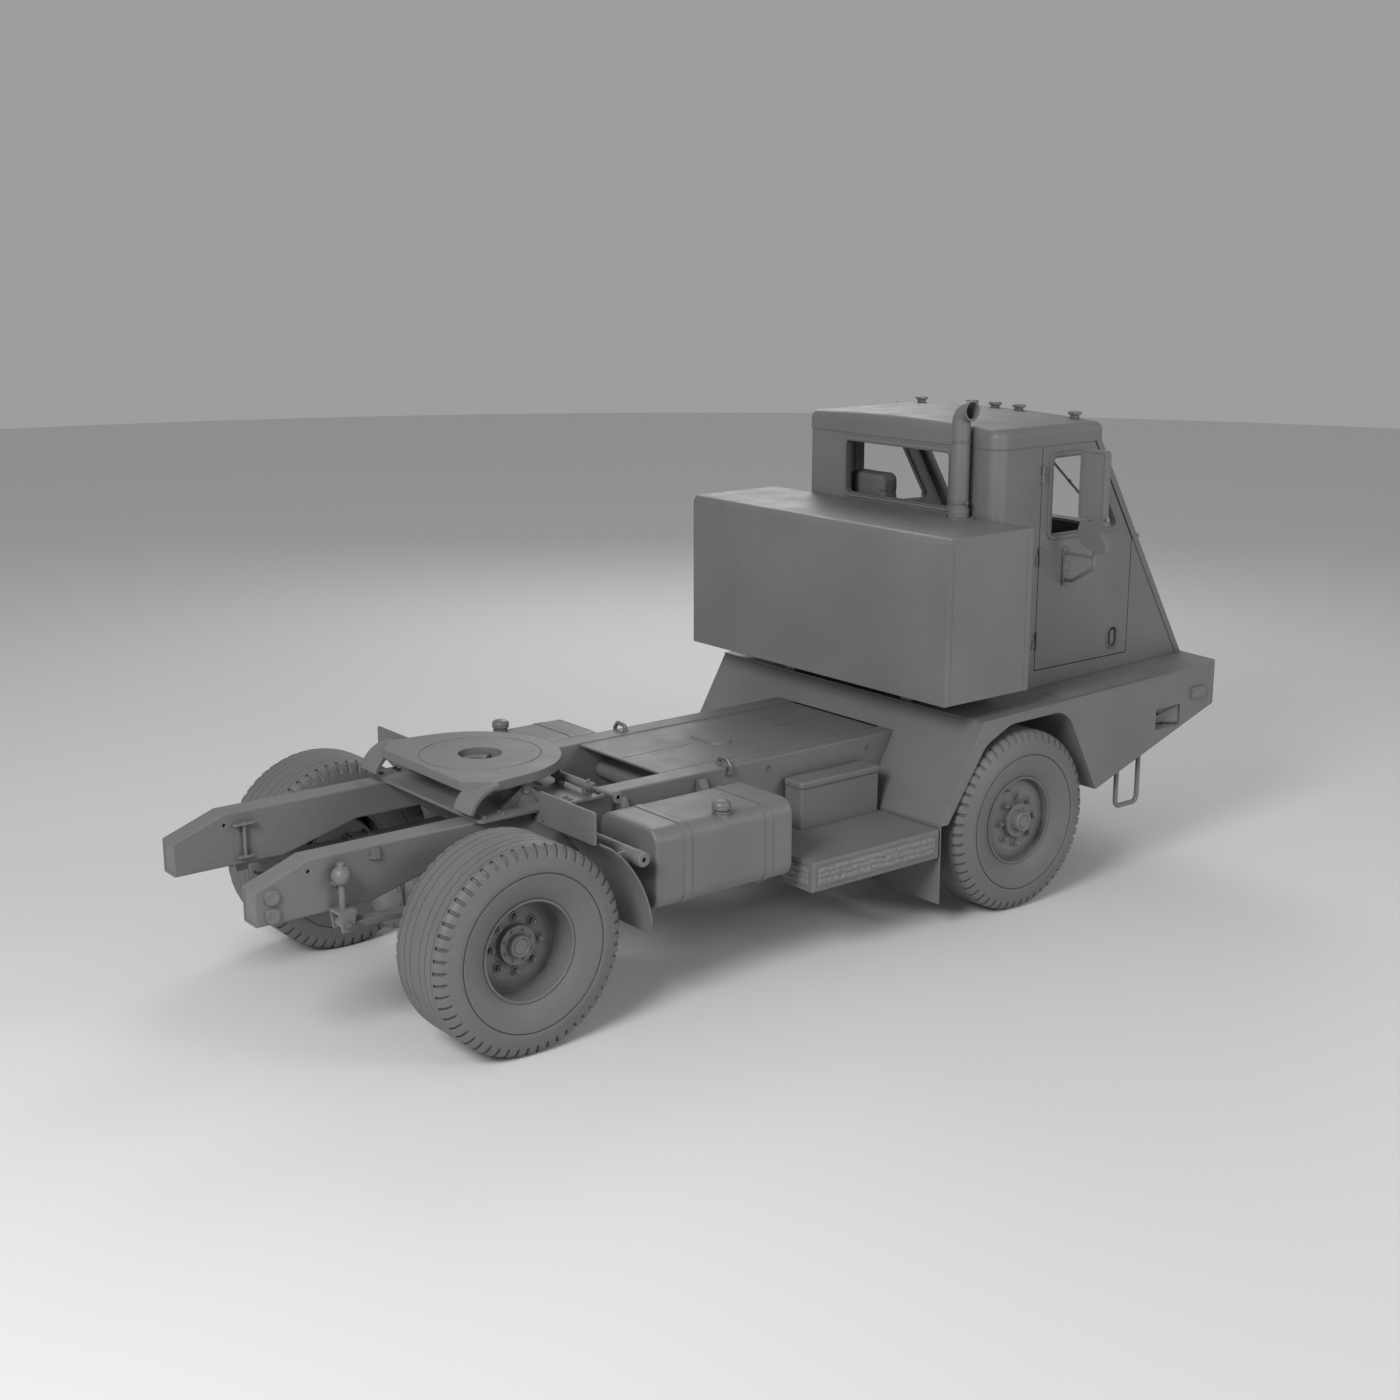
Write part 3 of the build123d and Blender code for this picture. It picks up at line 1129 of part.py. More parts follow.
# Rear axle: tube with a banjo housing and nose, spring pads, backing plates and spindles.
AXLE_TUBE_R = 68
PAD_H = 24
PAD_TOP = REAR_TYRE_R + AXLE_TUBE_R + PAD_H
BANJO_R = 185
NOSE_L = 330
BACKING_R = 195
REAR_BACKING_X = 760
rear_axis = Plane(origin=(0, REAR_AXLE_Y, REAR_TYRE_R), x_dir=(0, 1, 0), z_dir=(1, 0, 0))
with BuildPart() as rear_axle:
    with BuildSketch(rear_axis):
        Circle(AXLE_TUBE_R)
    extrude(amount=REAR_BACKING_X, both=True)
    with BuildSketch(Plane.XY.offset(REAR_TYRE_R)):
        with BuildLine():
            banjo = ThreePointArc(
                (-270, REAR_AXLE_Y + AXLE_TUBE_R - 10),
                (0, REAR_AXLE_Y + BANJO_R),
                (270, REAR_AXLE_Y + AXLE_TUBE_R - 10),
            )
            Polyline(banjo @ 1, (270, REAR_AXLE_Y), (-270, REAR_AXLE_Y), banjo @ 0)
        make_face()
    revolve(axis=Axis((0, REAR_AXLE_Y, REAR_TYRE_R), (1, 0, 0)))
    with BuildSketch(Plane.XZ.offset(-REAR_AXLE_Y)):
        with Locations((0, REAR_TYRE_R)):
            Circle(135)
    extrude(amount=NOSE_L, taper=9)
    for side in (1, -1):
        with BuildSketch(Plane.XY.offset(REAR_TYRE_R)):
            with Locations((side * REAR_SPRING_X, REAR_AXLE_Y)):
                Rectangle(110, 150)
        extrude(amount=AXLE_TUBE_R + PAD_H)
        with BuildSketch(Plane.YZ.offset(side * REAR_BACKING_X)):
            with Locations((REAR_AXLE_Y, REAR_TYRE_R)):
                Circle(BACKING_R)
        extrude(amount=-side * 10)
        with BuildSketch(Plane.YZ.offset(side * REAR_BACKING_X)):
            with Locations((REAR_AXLE_Y, REAR_TYRE_R)):
                Circle(SPINDLE_R)
        extrude(amount=side * (REAR_TYRE_OUT_X - REAR_RING_DEPTH - HUB_COVER - REAR_BACKING_X))
rear_axle.part.label = "rear_axle"
export_step(rear_axle.part, "parts/rear_axle.step")

# Propeller shaft from the gearbox to the axle nose, a tube with a yoke at each end.
SHAFT_R = 42
shaft_start = (0, GEARBOX_REAR_Y, SHAFT_FRONT_Z)
shaft_end = (0, REAR_AXLE_Y - NOSE_L, REAR_TYRE_R + 10)
with BuildPart() as propeller_shaft:
    with BuildLine():
        shaft_line = Polyline(
            shaft_start,
            (0, GEARBOX_REAR_Y + 120, SHAFT_FRONT_Z),
            (0, REAR_AXLE_Y - NOSE_L - 120, REAR_TYRE_R + 10),
            shaft_end,
        )
    with BuildSketch(Plane(origin=shaft_start, z_dir=(0, 1, 0))):
        Circle(SHAFT_R)
    sweep(transition=Transition.RIGHT)
    for y, z in ((GEARBOX_REAR_Y, SHAFT_FRONT_Z), (REAR_AXLE_Y - NOSE_L - 24, REAR_TYRE_R + 10)):
        with BuildSketch(Plane.XZ.offset(-y)):
            with Locations((0, z)):
                Circle(SHAFT_R + 24)
        extrude(amount=-24)
propeller_shaft.part.label = "propeller_shaft"
export_step(propeller_shaft.part, "parts/propeller_shaft.step")

# Leaf springs under the rails, with rolled eyes, and the hangers that hold their pins.
LEAF_THICK = 15
LEAF_SPRING_W = 74
EYE_R = 27
PIN_R = 13
CHEEK_T = 14
CLAMP_T = 18
FRONT_PAD_TOP = 600
leaf_half_lengths = (1.0, 0.86, 0.6, 0.36)      # share of the main leaf, from the top down
HANGER_REACH = 48       # half width of a hanger's cheek
# Each row is centre x, axle y, pad height, half length, eye height, top of the front and rear hangers.
spring_rows = (
    (RAIL_MID_X, FRONT_AXLE_Y, FRONT_PAD_TOP, 620, 690, RAIL_BOTTOM, RAIL_BOTTOM),
    (REAR_SPRING_X, REAR_AXLE_Y, PAD_TOP, 710, 692, RAIL_BOTTOM + 25, RAIL_END_BOTTOM + 20),
)
with BuildPart() as leaf_springs:
    for centre_x, axle_y, pad_z, half_l, eye_z, front_z, rear_z in spring_rows:
        main_z = pad_z + LEAF_THICK * (len(leaf_half_lengths) - 0.5)
        sag = eye_z - main_z
        bend_r = (half_l**2 + sag**2) / (2 * sag)
        centre = (axle_y, main_z + bend_r)
        with BuildSketch(Plane.YZ.offset(centre_x - LEAF_SPRING_W / 2)):
            for index, share in enumerate(leaf_half_lengths):
                inner_r = bend_r - LEAF_THICK / 2 + index * LEAF_THICK
                half_angle = degrees(share * half_l / bend_r)
                with BuildLine():
                    top = CenterArc(centre, inner_r, -90 - half_angle, 2 * half_angle)
                    low = CenterArc(centre, inner_r + LEAF_THICK, -90 - half_angle, 2 * half_angle)
                    Line(top @ 0, low @ 0)
                    Line(top @ 1, low @ 1)
                make_face()
            with Locations((axle_y - half_l, eye_z), (axle_y + half_l, eye_z)):
                Circle(EYE_R)
            with Locations((axle_y - half_l, eye_z), (axle_y + half_l, eye_z)):
                Circle(PIN_R + SEAT_GAP, mode=Mode.SUBTRACT)
        extrude(amount=LEAF_SPRING_W)
        clamp_z = main_z + LEAF_THICK / 2
        with BuildSketch(Plane.XY.offset(clamp_z - 2)):
            with Locations((centre_x, axle_y)):
                Rectangle(LEAF_SPRING_W + 26, 150)
        extrude(amount=CLAMP_T)
    mirror(about=Plane.YZ)
leaf_springs.part.label = "leaf_springs"
export_step(leaf_springs.part, "parts/leaf_springs.step")

PLATE_H = 14            # top plate over the two cheeks of a hanger
SNUBBER_R = 50
SNUBBER_Z = 928
SNUBBER_ROD_R = 17
with BuildPart() as spring_hangers:
    for centre_x, axle_y, pad_z, half_l, eye_z, front_z, rear_z in spring_rows:
        gap = LEAF_SPRING_W / 2 + SEAT_GAP
        for y, top_z in ((axle_y - half_l, front_z), (axle_y + half_l, rear_z)):
            for x0 in (centre_x - gap - CHEEK_T + SEAT_GAP, centre_x + gap):
                with BuildSketch(Plane.YZ.offset(x0)):
                    with BuildLine():
                        Polyline(
                            (y - HANGER_REACH, top_z),
                            (y + HANGER_REACH, top_z),
                            (y + 30, eye_z - 34),
                            (y - 30, eye_z - 34),
                            close=True,
                        )
                    make_face()
                extrude(amount=CHEEK_T - SEAT_GAP)
            with BuildSketch(Plane.YZ.offset(centre_x - gap - CHEEK_T + SEAT_GAP)):
                with Locations((y, eye_z)):
                    Circle(PIN_R)
            extrude(amount=2 * (gap + CHEEK_T - SEAT_GAP))
            if centre_x > RAIL_OUT_X:
                with BuildSketch(Plane.YZ.offset(RAIL_OUT_X)):
                    with Locations((y, top_z - PLATE_H / 2)):
                        Rectangle(2 * HANGER_REACH, PLATE_H)
                extrude(amount=centre_x + gap + CHEEK_T - SEAT_GAP - RAIL_OUT_X)
    with BuildSketch(Plane.XY.offset(RAIL_END_BOTTOM + 10)):
        with Locations((REAR_SPRING_X, REAR_AXLE_Y + 710)):
            Circle(SNUBBER_ROD_R)
    extrude(amount=SNUBBER_Z - RAIL_END_BOTTOM - 10)
    with BuildSketch(Plane.XZ.offset(-REAR_AXLE_Y - 710)):
        with BuildLine():
            bulb = ThreePointArc(
                (REAR_SPRING_X, SNUBBER_Z + SNUBBER_R),
                (REAR_SPRING_X + SNUBBER_R, SNUBBER_Z),
                (REAR_SPRING_X, SNUBBER_Z - SNUBBER_R),
            )
            Line(bulb @ 1, bulb @ 0)
        make_face()
    revolve(axis=Axis((REAR_SPRING_X, REAR_AXLE_Y + 710, 0), (0, 0, 1)))
    with BuildSketch(Plane.XY.offset(SNUBBER_Z)):
        with Locations((REAR_SPRING_X, REAR_AXLE_Y + 710)):
            Circle(20)
    extrude(amount=SNUBBER_R + 14)
    with BuildSketch(Plane.YZ.offset(RAIL_OUT_X)):
        with Locations((REAR_AXLE_Y + 710, SNUBBER_Z - 40)):
            Rectangle(70, 14)
    extrude(amount=REAR_SPRING_X - RAIL_OUT_X)
    mirror(about=Plane.YZ)
spring_hangers.part.label = "spring_hangers"
export_step(spring_hangers.part, "parts/spring_hangers.step")

# Front axle: dropped I-beam with spring pads and kingpin bosses.
BEAM_HALF_T = 45
WEB_HALF_L = 580
AXLE_Z = FRONT_TYRE_R
boss_low = AXLE_Z - KINGPIN_BOSS_H / 2
with BuildPart() as front_axle:
    with BuildSketch(Plane.XZ.offset(-FRONT_AXLE_Y)):
        with BuildLine():
            Polyline(
                (0, AXLE_Z - 110), (610, AXLE_Z - 110), (790, AXLE_Z - 55), (KINGPIN_X, AXLE_Z - 55),
                (KINGPIN_X, AXLE_Z + 55), (760, AXLE_Z + 50), (610, AXLE_Z), (0, AXLE_Z), close=True,
            )
        make_face()
        mirror(about=Plane.YZ)
    extrude(amount=BEAM_HALF_T, both=True)
    for side in (1, -1):
        with BuildSketch(Plane.XZ.offset(-FRONT_AXLE_Y + side * (BEAM_HALF_T - 26))):
            with Locations((0, AXLE_Z - 55)):
                Rectangle(2 * WEB_HALF_L, 66)
        extrude(amount=side * 40, mode=Mode.SUBTRACT)
        with BuildSketch(Plane.XY.offset(AXLE_Z - 60)):
            with Locations((side * RAIL_MID_X, FRONT_AXLE_Y)):
                Rectangle(104, 140)
        extrude(amount=FRONT_PAD_TOP - AXLE_Z + 60)
        with BuildSketch(Plane.XY.offset(boss_low)):
            with Locations((side * KINGPIN_X, FRONT_AXLE_Y)):
                Circle(KINGPIN_BOSS_R)
        extrude(amount=KINGPIN_BOSS_H)
        with BuildSketch(Plane.XY.offset(boss_low)):
            with Locations((side * KINGPIN_X, FRONT_AXLE_Y)):
                Circle(KINGPIN_R + SEAT_GAP)
        extrude(amount=KINGPIN_BOSS_H, mode=Mode.SUBTRACT)
front_axle.part.label = "front_axle"
export_step(front_axle.part, "parts/front_axle.step")

# Steering knuckles: two ears on the kingpin, a web with the spindle and the tie rod arm.
EAR_R = 45
WEB_IN_X = KINGPIN_X + KINGPIN_BOSS_R + 5
WEB_OUT_X = WEB_IN_X + 28
STUD_R = 12
knuckle_low = boss_low - SEAT_GAP - KNUCKLE_EAR_H
knuckle_top = boss_low + KINGPIN_BOSS_H + SEAT_GAP + KNUCKLE_EAR_H
stud_x = KINGPIN_X
stud_y = FRONT_AXLE_Y + TIE_ROD_BACK
with BuildPart() as knuckle_left:
    for z in (knuckle_low, knuckle_top - KNUCKLE_EAR_H):
        with BuildSketch(Plane.XY.offset(z)):
            with Locations((KINGPIN_X, FRONT_AXLE_Y)):
                Circle(EAR_R)
            with Locations(((KINGPIN_X + WEB_OUT_X) / 2, FRONT_AXLE_Y)):
                Rectangle(WEB_OUT_X - KINGPIN_X, 2 * EAR_R)
        extrude(amount=KNUCKLE_EAR_H)
    with BuildSketch(Plane.XY.offset(knuckle_low)):
        with Locations(((WEB_IN_X + WEB_OUT_X) / 2, FRONT_AXLE_Y)):
            Rectangle(WEB_OUT_X - WEB_IN_X, 2 * EAR_R)
    extrude(amount=knuckle_top - knuckle_low)
    with BuildSketch(Plane.XY.offset(knuckle_low)):
        with Locations((KINGPIN_X, FRONT_AXLE_Y)):
            Circle(KINGPIN_R)
    extrude(amount=knuckle_top - knuckle_low)
    with BuildSketch(Plane.YZ.offset(WEB_OUT_X)):
        with Locations((FRONT_AXLE_Y, AXLE_Z)):
            Circle(SPINDLE_R)
    extrude(amount=FRONT_TYRE_OUT_X - FRONT_RING_DEPTH - HUB_COVER - WEB_OUT_X)
    with BuildSketch(Plane.XY.offset(knuckle_low)):
        with BuildLine():
            Polyline(
                (KINGPIN_X - 24, FRONT_AXLE_Y + 30), (KINGPIN_X + 30, FRONT_AXLE_Y + 30),
                (stud_x + 22, stud_y), (stud_x - 22, stud_y), close=True,
            )
        make_face()
        with Locations((stud_x, stud_y)):
            Circle(24)
            Circle(STUD_R + SEAT_GAP, mode=Mode.SUBTRACT)
    extrude(amount=KNUCKLE_EAR_H)
knuckle_left.part.label = "knuckle_left"
export_step(knuckle_left.part, "parts/knuckle_left.step")

with BuildPart() as knuckle_right:
    mirror(knuckle_left.part, about=Plane.YZ)
knuckle_right.part.label = "knuckle_right"
export_step(knuckle_right.part, "parts/knuckle_right.step")

# Tie rod with an eye and a ball stud at each end.
EYE_H = 46
with BuildPart() as tie_rod:
    eye_top = knuckle_low - SEAT_GAP
    with BuildSketch(Plane.YZ):
        with Locations((stud_y, eye_top - EYE_H / 2)):
            Circle(TIE_ROD_R)
    extrude(amount=stud_x, both=True)
    for side in (1, -1):
        with BuildSketch(Plane.XY.offset(eye_top)):
            with Locations((side * stud_x, stud_y)):
                Circle(24)
        extrude(amount=-EYE_H)
        with BuildSketch(Plane.XY.offset(eye_top)):
            with Locations((side * stud_x, stud_y)):
                Circle(STUD_R)
        extrude(amount=KNUCKLE_EAR_H)
tie_rod.part.label = "tie_rod"
export_step(tie_rod.part, "parts/tie_rod.step")

# Tyres and wheels. Each row is name, side, axle y, radius, width, outer face x.
wheel_rows = (
    ("front_left", 1, FRONT_AXLE_Y, FRONT_TYRE_R, FRONT_TYRE_W, FRONT_TYRE_OUT_X),
    ("front_right", -1, FRONT_AXLE_Y, FRONT_TYRE_R, FRONT_TYRE_W, FRONT_TYRE_OUT_X),
    ("rear_left", 1, REAR_AXLE_Y, REAR_TYRE_R, REAR_TYRE_W, REAR_TYRE_OUT_X),
    ("rear_right", -1, REAR_AXLE_Y, REAR_TYRE_R, REAR_TYRE_W, REAR_TYRE_OUT_X),
)
BEAD_IN = 50            # sidewall's inner edge inside the tyre's widest plane
RIM_PROUD = 5           # rim's edge beyond the bead
GROOVE_R = 401          # groove round the sidewall
GROOVE_DEPTH = 7
DISC_T = 16
# Depths below the tyre's outer plane: disc, hub ring, cap, back of the drum, back of the hub.
wheel_depths = {
    "front": (78, FRONT_RING_DEPTH, 4, 158, FRONT_TYRE_OUT_X - WEB_OUT_X - SEAT_GAP),
    "rear": (187, REAR_RING_DEPTH, 121, 385, REAR_TYRE_OUT_X - REAR_BACKING_X - SEAT_GAP),
}
for name, side, axle_y, tyre_r, tyre_w, out_x in wheel_rows:
    mid_x = side * (out_x - tyre_w / 2)
    half_w = tyre_w / 2
    half_tyre = (
        (half_w - BEAD_IN, RIM_R),
        (half_w - 44, RIM_R + 8),
        (half_w - 25, RIM_R + 38),
        (half_w - 10, RIM_R + 83),
        (half_w - 3, GROOVE_R - 16),
        (half_w - 1, GROOVE_R - 4),
        (half_w - GROOVE_DEPTH, GROOVE_R - 2),
        (half_w - GROOVE_DEPTH, GROOVE_R + 2),
        (half_w, GROOVE_R + 4),
        (half_w, GROOVE_R + 40),
        (half_w - 12, tyre_r - 62),
        (half_w - 38, tyre_r - 12),
        (half_w - 66, tyre_r),
    )
    tyre_section = half_tyre + tuple((-a, r) for a, r in reversed(half_tyre))
    section_plane = Plane(origin=(mid_x, axle_y, tyre_r), x_dir=(side, 0, 0), z_dir=(0, -side, 0))
    with BuildPart() as tyre:
        with BuildSketch(section_plane):
            with BuildLine():
                Polyline(*tyre_section, close=True)
            make_face()
        revolve(axis=Axis((mid_x, axle_y, tyre_r), (1, 0, 0)))
    tyre.part.label = f"tyre_{name}"
    export_step(tyre.part, f"parts/tyre_{name}.step")

    disc, ring, cap, drum, back = wheel_depths[name.split("_")[0]]
    lip = BEAD_IN - RIM_PROUD
    inner_lip = tyre_w - lip
    bore_end = ring + HUB_COVER - SEAT_GAP
    # Half section, as depth below the outer plane and radius.
    rim_section = (
        (lip, RIM_R - RIM_WALL),
        (lip, RIM_R),
        (inner_lip, RIM_R),
        (inner_lip, RIM_R - RIM_WALL),
        (disc + DISC_T + 12, RIM_R - RIM_WALL),
        (disc + DISC_T, 190),
        (disc + DISC_T, DRUM_R - 30),
        (disc + 24, DRUM_R),
        (drum, DRUM_R),
        (drum, 110),
        (back, 95),
        (back, SPINDLE_R + SEAT_GAP),
        (bore_end, SPINDLE_R + SEAT_GAP),
        (bore_end, 0),
        (cap + 6, 0),
        (cap + 6, 40),
        (cap, 44),
        (cap, 52),
        (cap + 8, 58),
        (ring, 62),
        (ring, 100),
        (disc, 104),
        (disc, 185),
        (disc + 14, RIM_R - RIM_WALL),
    )
    with BuildPart() as wheel:
        with BuildSketch(section_plane):
            with BuildLine():
                Polyline(*[(half_w - depth, r) for depth, r in rim_section], close=True)
            make_face()
        revolve(axis=Axis((mid_x, axle_y, tyre_r), (1, 0, 0)))
        disc_centre = (side * (out_x - disc), axle_y, tyre_r)
        face_plane = Plane(origin=disc_centre, x_dir=(0, 1, 0), z_dir=(side, 0, 0))
        with BuildSketch(face_plane):
            with PolarLocations(LUG_PITCH_R, LUG_COUNT):
                RegularPolygon(LUG_R, 6)
        extrude(amount=26)
    wheel.part.label = f"wheel_{name}"
    export_step(wheel.part, f"parts/wheel_{name}.step")

# Fifth wheel base: a plate on the rails with two pedestals and the tilt pins.
BASE_HALF_W = 575
BASE_Y = (REAR_AXLE_Y - 870, REAR_AXLE_Y - 70)
BASE_TOP = RAIL_TOP + BASE_T
PEDESTAL_X = (428, 466)
LUG_X = (378, 428 - SEAT_GAP)
TILT_PIN_R = 20
with BuildPart() as fifth_wheel_base:
    with BuildSketch(Plane.XY.offset(RAIL_TOP)):
        with Locations((0, sum(BASE_Y) / 2)):
            RectangleRounded(2 * BASE_HALF_W, BASE_Y[1] - BASE_Y[0], 30)
            Rectangle(460, 420, mode=Mode.SUBTRACT)
    extrude(amount=BASE_T)
    for side in (1, -1):
        with BuildSketch(Plane.YZ.offset(side * PEDESTAL_X[0])):
            with BuildLine():
                Polyline(
                    (TILT_Y - 150, BASE_TOP), (TILT_Y + 150, BASE_TOP), (TILT_Y + 30, TILT_Z + 10),
                    (TILT_Y - 30, TILT_Z + 10), close=True,
                )
            make_face()
            with Locations((TILT_Y, TILT_Z)):
                Circle(28)
        extrude(amount=side * (PEDESTAL_X[1] - PEDESTAL_X[0]))
        with BuildSketch(Plane.YZ.offset(side * (LUG_X[0] - 6))):
            with Locations((TILT_Y, TILT_Z)):
                Circle(TILT_PIN_R)
        extrude(amount=side * (PEDESTAL_X[1] + 10 - LUG_X[0]))
fifth_wheel_base.part.label = "fifth_wheel_base"
export_step(fifth_wheel_base.part, "parts/fifth_wheel_base.step")

# Fifth wheel plate: rimmed top plate with the kingpin bore, tilt lugs and two rear pickup ramps.
PLATE_FRONT_R = 480
PLATE_HALF_W = 520
PLATE_TAIL_Y = REAR_AXLE_Y - 70
RAMP_X = (396, 560)
RAMP_START_Y = REAR_AXLE_Y - 200
RAMP_END = (REAR_AXLE_Y - 20, 1078)
RAMP_T = 22
PLATE_UNDER = PLATE_TOP - PLATE_T
with BuildPart() as fifth_wheel_plate:
    with BuildSketch(Plane.XY.offset(PLATE_TOP - PLATE_RIM)) as plate_plan:
        with BuildLine():
            ThreePointArc(
                (-PLATE_HALF_W + 28, TILT_Y + 10),
                (0, KINGPIN_BORE_Y + 63 - PLATE_FRONT_R),
                (PLATE_HALF_W - 28, TILT_Y + 10),
            )
            Polyline(
                (PLATE_HALF_W - 28, TILT_Y + 10), (PLATE_HALF_W, RAMP_START_Y), (RAMP_X[0], PLATE_TAIL_Y),
                (-RAMP_X[0], PLATE_TAIL_Y), (-PLATE_HALF_W, RAMP_START_Y), (-PLATE_HALF_W + 28, TILT_Y + 10),
            )
        make_face()
    extrude(amount=PLATE_RIM)
    with BuildSketch(Plane.XY.offset(PLATE_TOP - PLATE_RIM)):
        add(plate_plan.sketch)
        offset(amount=-26, kind=Kind.INTERSECTION)
    extrude(amount=PLATE_RIM - PLATE_T, mode=Mode.SUBTRACT)
    with BuildSketch(Plane.XY.offset(PLATE_TOP - PLATE_RIM - 10)):
        with Locations((0, KINGPIN_BORE_Y)):
            Circle(KINGPIN_BORE_R + 34)
    extrude(amount=PLATE_RIM)
    for side in (1, -1):
        with BuildSketch(Plane.YZ.offset(side * RAMP_X[0])):
            with BuildLine():
                crest = ThreePointArc((RAMP_START_Y, PLATE_TOP), (RAMP_START_Y + 116, 1168), RAMP_END)
                offset(crest, RAMP_T, side=Side.RIGHT)
            make_face()
        extrude(amount=side * (RAMP_X[1] - RAMP_X[0]))
        with BuildSketch(Plane.YZ.offset(side * LUG_X[0])):
            with BuildLine():
                Polyline(
                    (TILT_Y - 70, PLATE_UNDER), (TILT_Y + 70, PLATE_UNDER), (TILT_Y + 36, TILT_Z),
                    (TILT_Y - 36, TILT_Z), close=True,
                )
            make_face()
            with Locations((TILT_Y, TILT_Z)):
                Circle(38)
                Circle(TILT_PIN_R + SEAT_GAP, mode=Mode.SUBTRACT)
        extrude(amount=side * (LUG_X[1] - LUG_X[0]))
    with BuildSketch(Plane.XY.offset(PLATE_TOP)):
        with Locations((0, KINGPIN_BORE_Y)):
            Circle(206)
            Circle(200, mode=Mode.SUBTRACT)
            Circle(326)
            Circle(320, mode=Mode.SUBTRACT)
    extrude(amount=-3, mode=Mode.SUBTRACT)
    with BuildSketch(Plane.XY.offset(PLATE_TOP)):
        with Locations((0, KINGPIN_BORE_Y)):
            Circle(KINGPIN_BORE_R)
    extrude(amount=-PLATE_RIM - 20, mode=Mode.SUBTRACT)
fifth_wheel_plate.part.label = "fifth_wheel_plate"
export_step(fifth_wheel_plate.part, "parts/fifth_wheel_plate.step")

# Release cylinder across the base plate, on two saddles, with an eye at its outer end.
CYL_R = 22
CYL_Y = REAR_AXLE_Y - 770
CYL_Z = BASE_TOP + CYL_R + 22
with BuildPart() as release_cylinder:
    with BuildSketch(Plane.YZ.offset(-200)):
        with Locations((CYL_Y, CYL_Z)):
            Circle(CYL_R)
    extrude(amount=-360)
    with BuildSketch(Plane.YZ.offset(-550)):
        with Locations((CYL_Y, CYL_Z)):
            Circle(11)
    extrude(amount=-225)
    with BuildSketch(Plane.YZ.offset(-765)):
        with Locations((CYL_Y, CYL_Z)):
            RectangleRounded(48, 60, 14)
    extrude(amount=-12)
    with BuildSketch(Plane.XY.offset(BASE_TOP)):
        with Locations((-250, CYL_Y), (-500, CYL_Y)):
            Rectangle(36, 40)
    extrude(amount=CYL_Z - BASE_TOP)
release_cylinder.part.label = "release_cylinder"
export_step(release_cylinder.part, "parts/release_cylinder.step")
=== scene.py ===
"""Looks of the terminal tractor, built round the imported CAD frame. Metres, facing -Y, floor at z = 0."""

import json
from math import atan, atan2, cos, hypot, pi, radians, sin

import bmesh
import bpy
from mathutils import Matrix, Vector, noise


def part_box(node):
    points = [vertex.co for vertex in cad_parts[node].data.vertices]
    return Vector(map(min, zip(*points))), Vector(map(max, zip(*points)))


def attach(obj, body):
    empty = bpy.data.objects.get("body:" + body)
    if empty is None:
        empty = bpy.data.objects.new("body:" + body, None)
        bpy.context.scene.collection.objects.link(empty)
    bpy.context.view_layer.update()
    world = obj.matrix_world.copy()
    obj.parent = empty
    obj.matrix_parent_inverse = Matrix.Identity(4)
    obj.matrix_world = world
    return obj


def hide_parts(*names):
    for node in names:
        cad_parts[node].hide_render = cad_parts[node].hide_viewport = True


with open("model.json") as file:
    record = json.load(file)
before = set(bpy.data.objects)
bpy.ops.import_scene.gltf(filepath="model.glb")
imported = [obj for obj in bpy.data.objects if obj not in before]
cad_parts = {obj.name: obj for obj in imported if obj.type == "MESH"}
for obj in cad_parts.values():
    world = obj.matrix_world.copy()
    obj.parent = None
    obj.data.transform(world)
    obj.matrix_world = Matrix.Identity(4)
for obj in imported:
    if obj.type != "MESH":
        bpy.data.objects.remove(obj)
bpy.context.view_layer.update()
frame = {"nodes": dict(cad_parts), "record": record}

# Sizes shared with the CAD frame.
FRONT_AXLE_Y = -1.335
REAR_AXLE_Y = 2.055
DECK_X = 1.160
DECK_REAR_Y = -0.995
CAB_X = 0.825
CAB_REAR_Y = -1.395
CAB_WALL = 0.040
SEAM_Z = 2.665
NOSE_FOOT = (-3.165, 1.243)
NOSE_RAKE = 0.6143
BOX_X = 1.126
BOX_Y = (-1.389, -0.708)
BOX_Z = (1.312, 2.256)
RAIL_X = (0.388, 0.524)
RAIL_TOP = 1.026
WALK_Z = 1.020
PLATE_TOP = 1.210
BASE_TOP = 1.042
BORE_Y = 1.622
BORE_R = 0.1175
TILT_Y = 1.645
TILT_Z = 1.120
DRIVER_X = 0.430
SIDES = ((1, "left"), (-1, "right"))

# The photo's camera, solved from its straight edges, and the light of the studio.
LENS_MM = 49.73
SENSOR_MM = 36
CAMERA_AT = (-8.454, 6.846, 3.956)
CAMERA_LOOK = (0.7600, -0.6034, -0.2416)
SKY_TONE = 0.62
SKY_STRENGTH = 0.55
FLOOR_TONE = 0.74
FLOOR_R = 30
FLOOR_SIDES = 96


def nose_y(z, inward=0.0):
    """Y of the raked nose at height z, on a plane set that far inside its face."""
    return NOSE_FOOT[0] + NOSE_RAKE * (z - NOSE_FOOT[1]) + inward / cos(atan(NOSE_RAKE))


def deck_z(y):
    """Height of the front deck's top at y."""
    return 1.190 + (50 / 2020) * (DECK_REAR_Y - y)


# Camera, light and floor.
def camera():
    data = bpy.data.cameras.new("camera")
    data.lens = LENS_MM
    data.sensor_width = SENSOR_MM
    data.clip_end = 200
    obj = bpy.data.objects.new("camera", data)
    obj.location = CAMERA_AT
    obj.rotation_euler = Vector(CAMERA_LOOK).to_track_quat("-Z", "Y").to_euler()
    bpy.context.scene.collection.objects.link(obj)
    bpy.context.scene.camera = obj


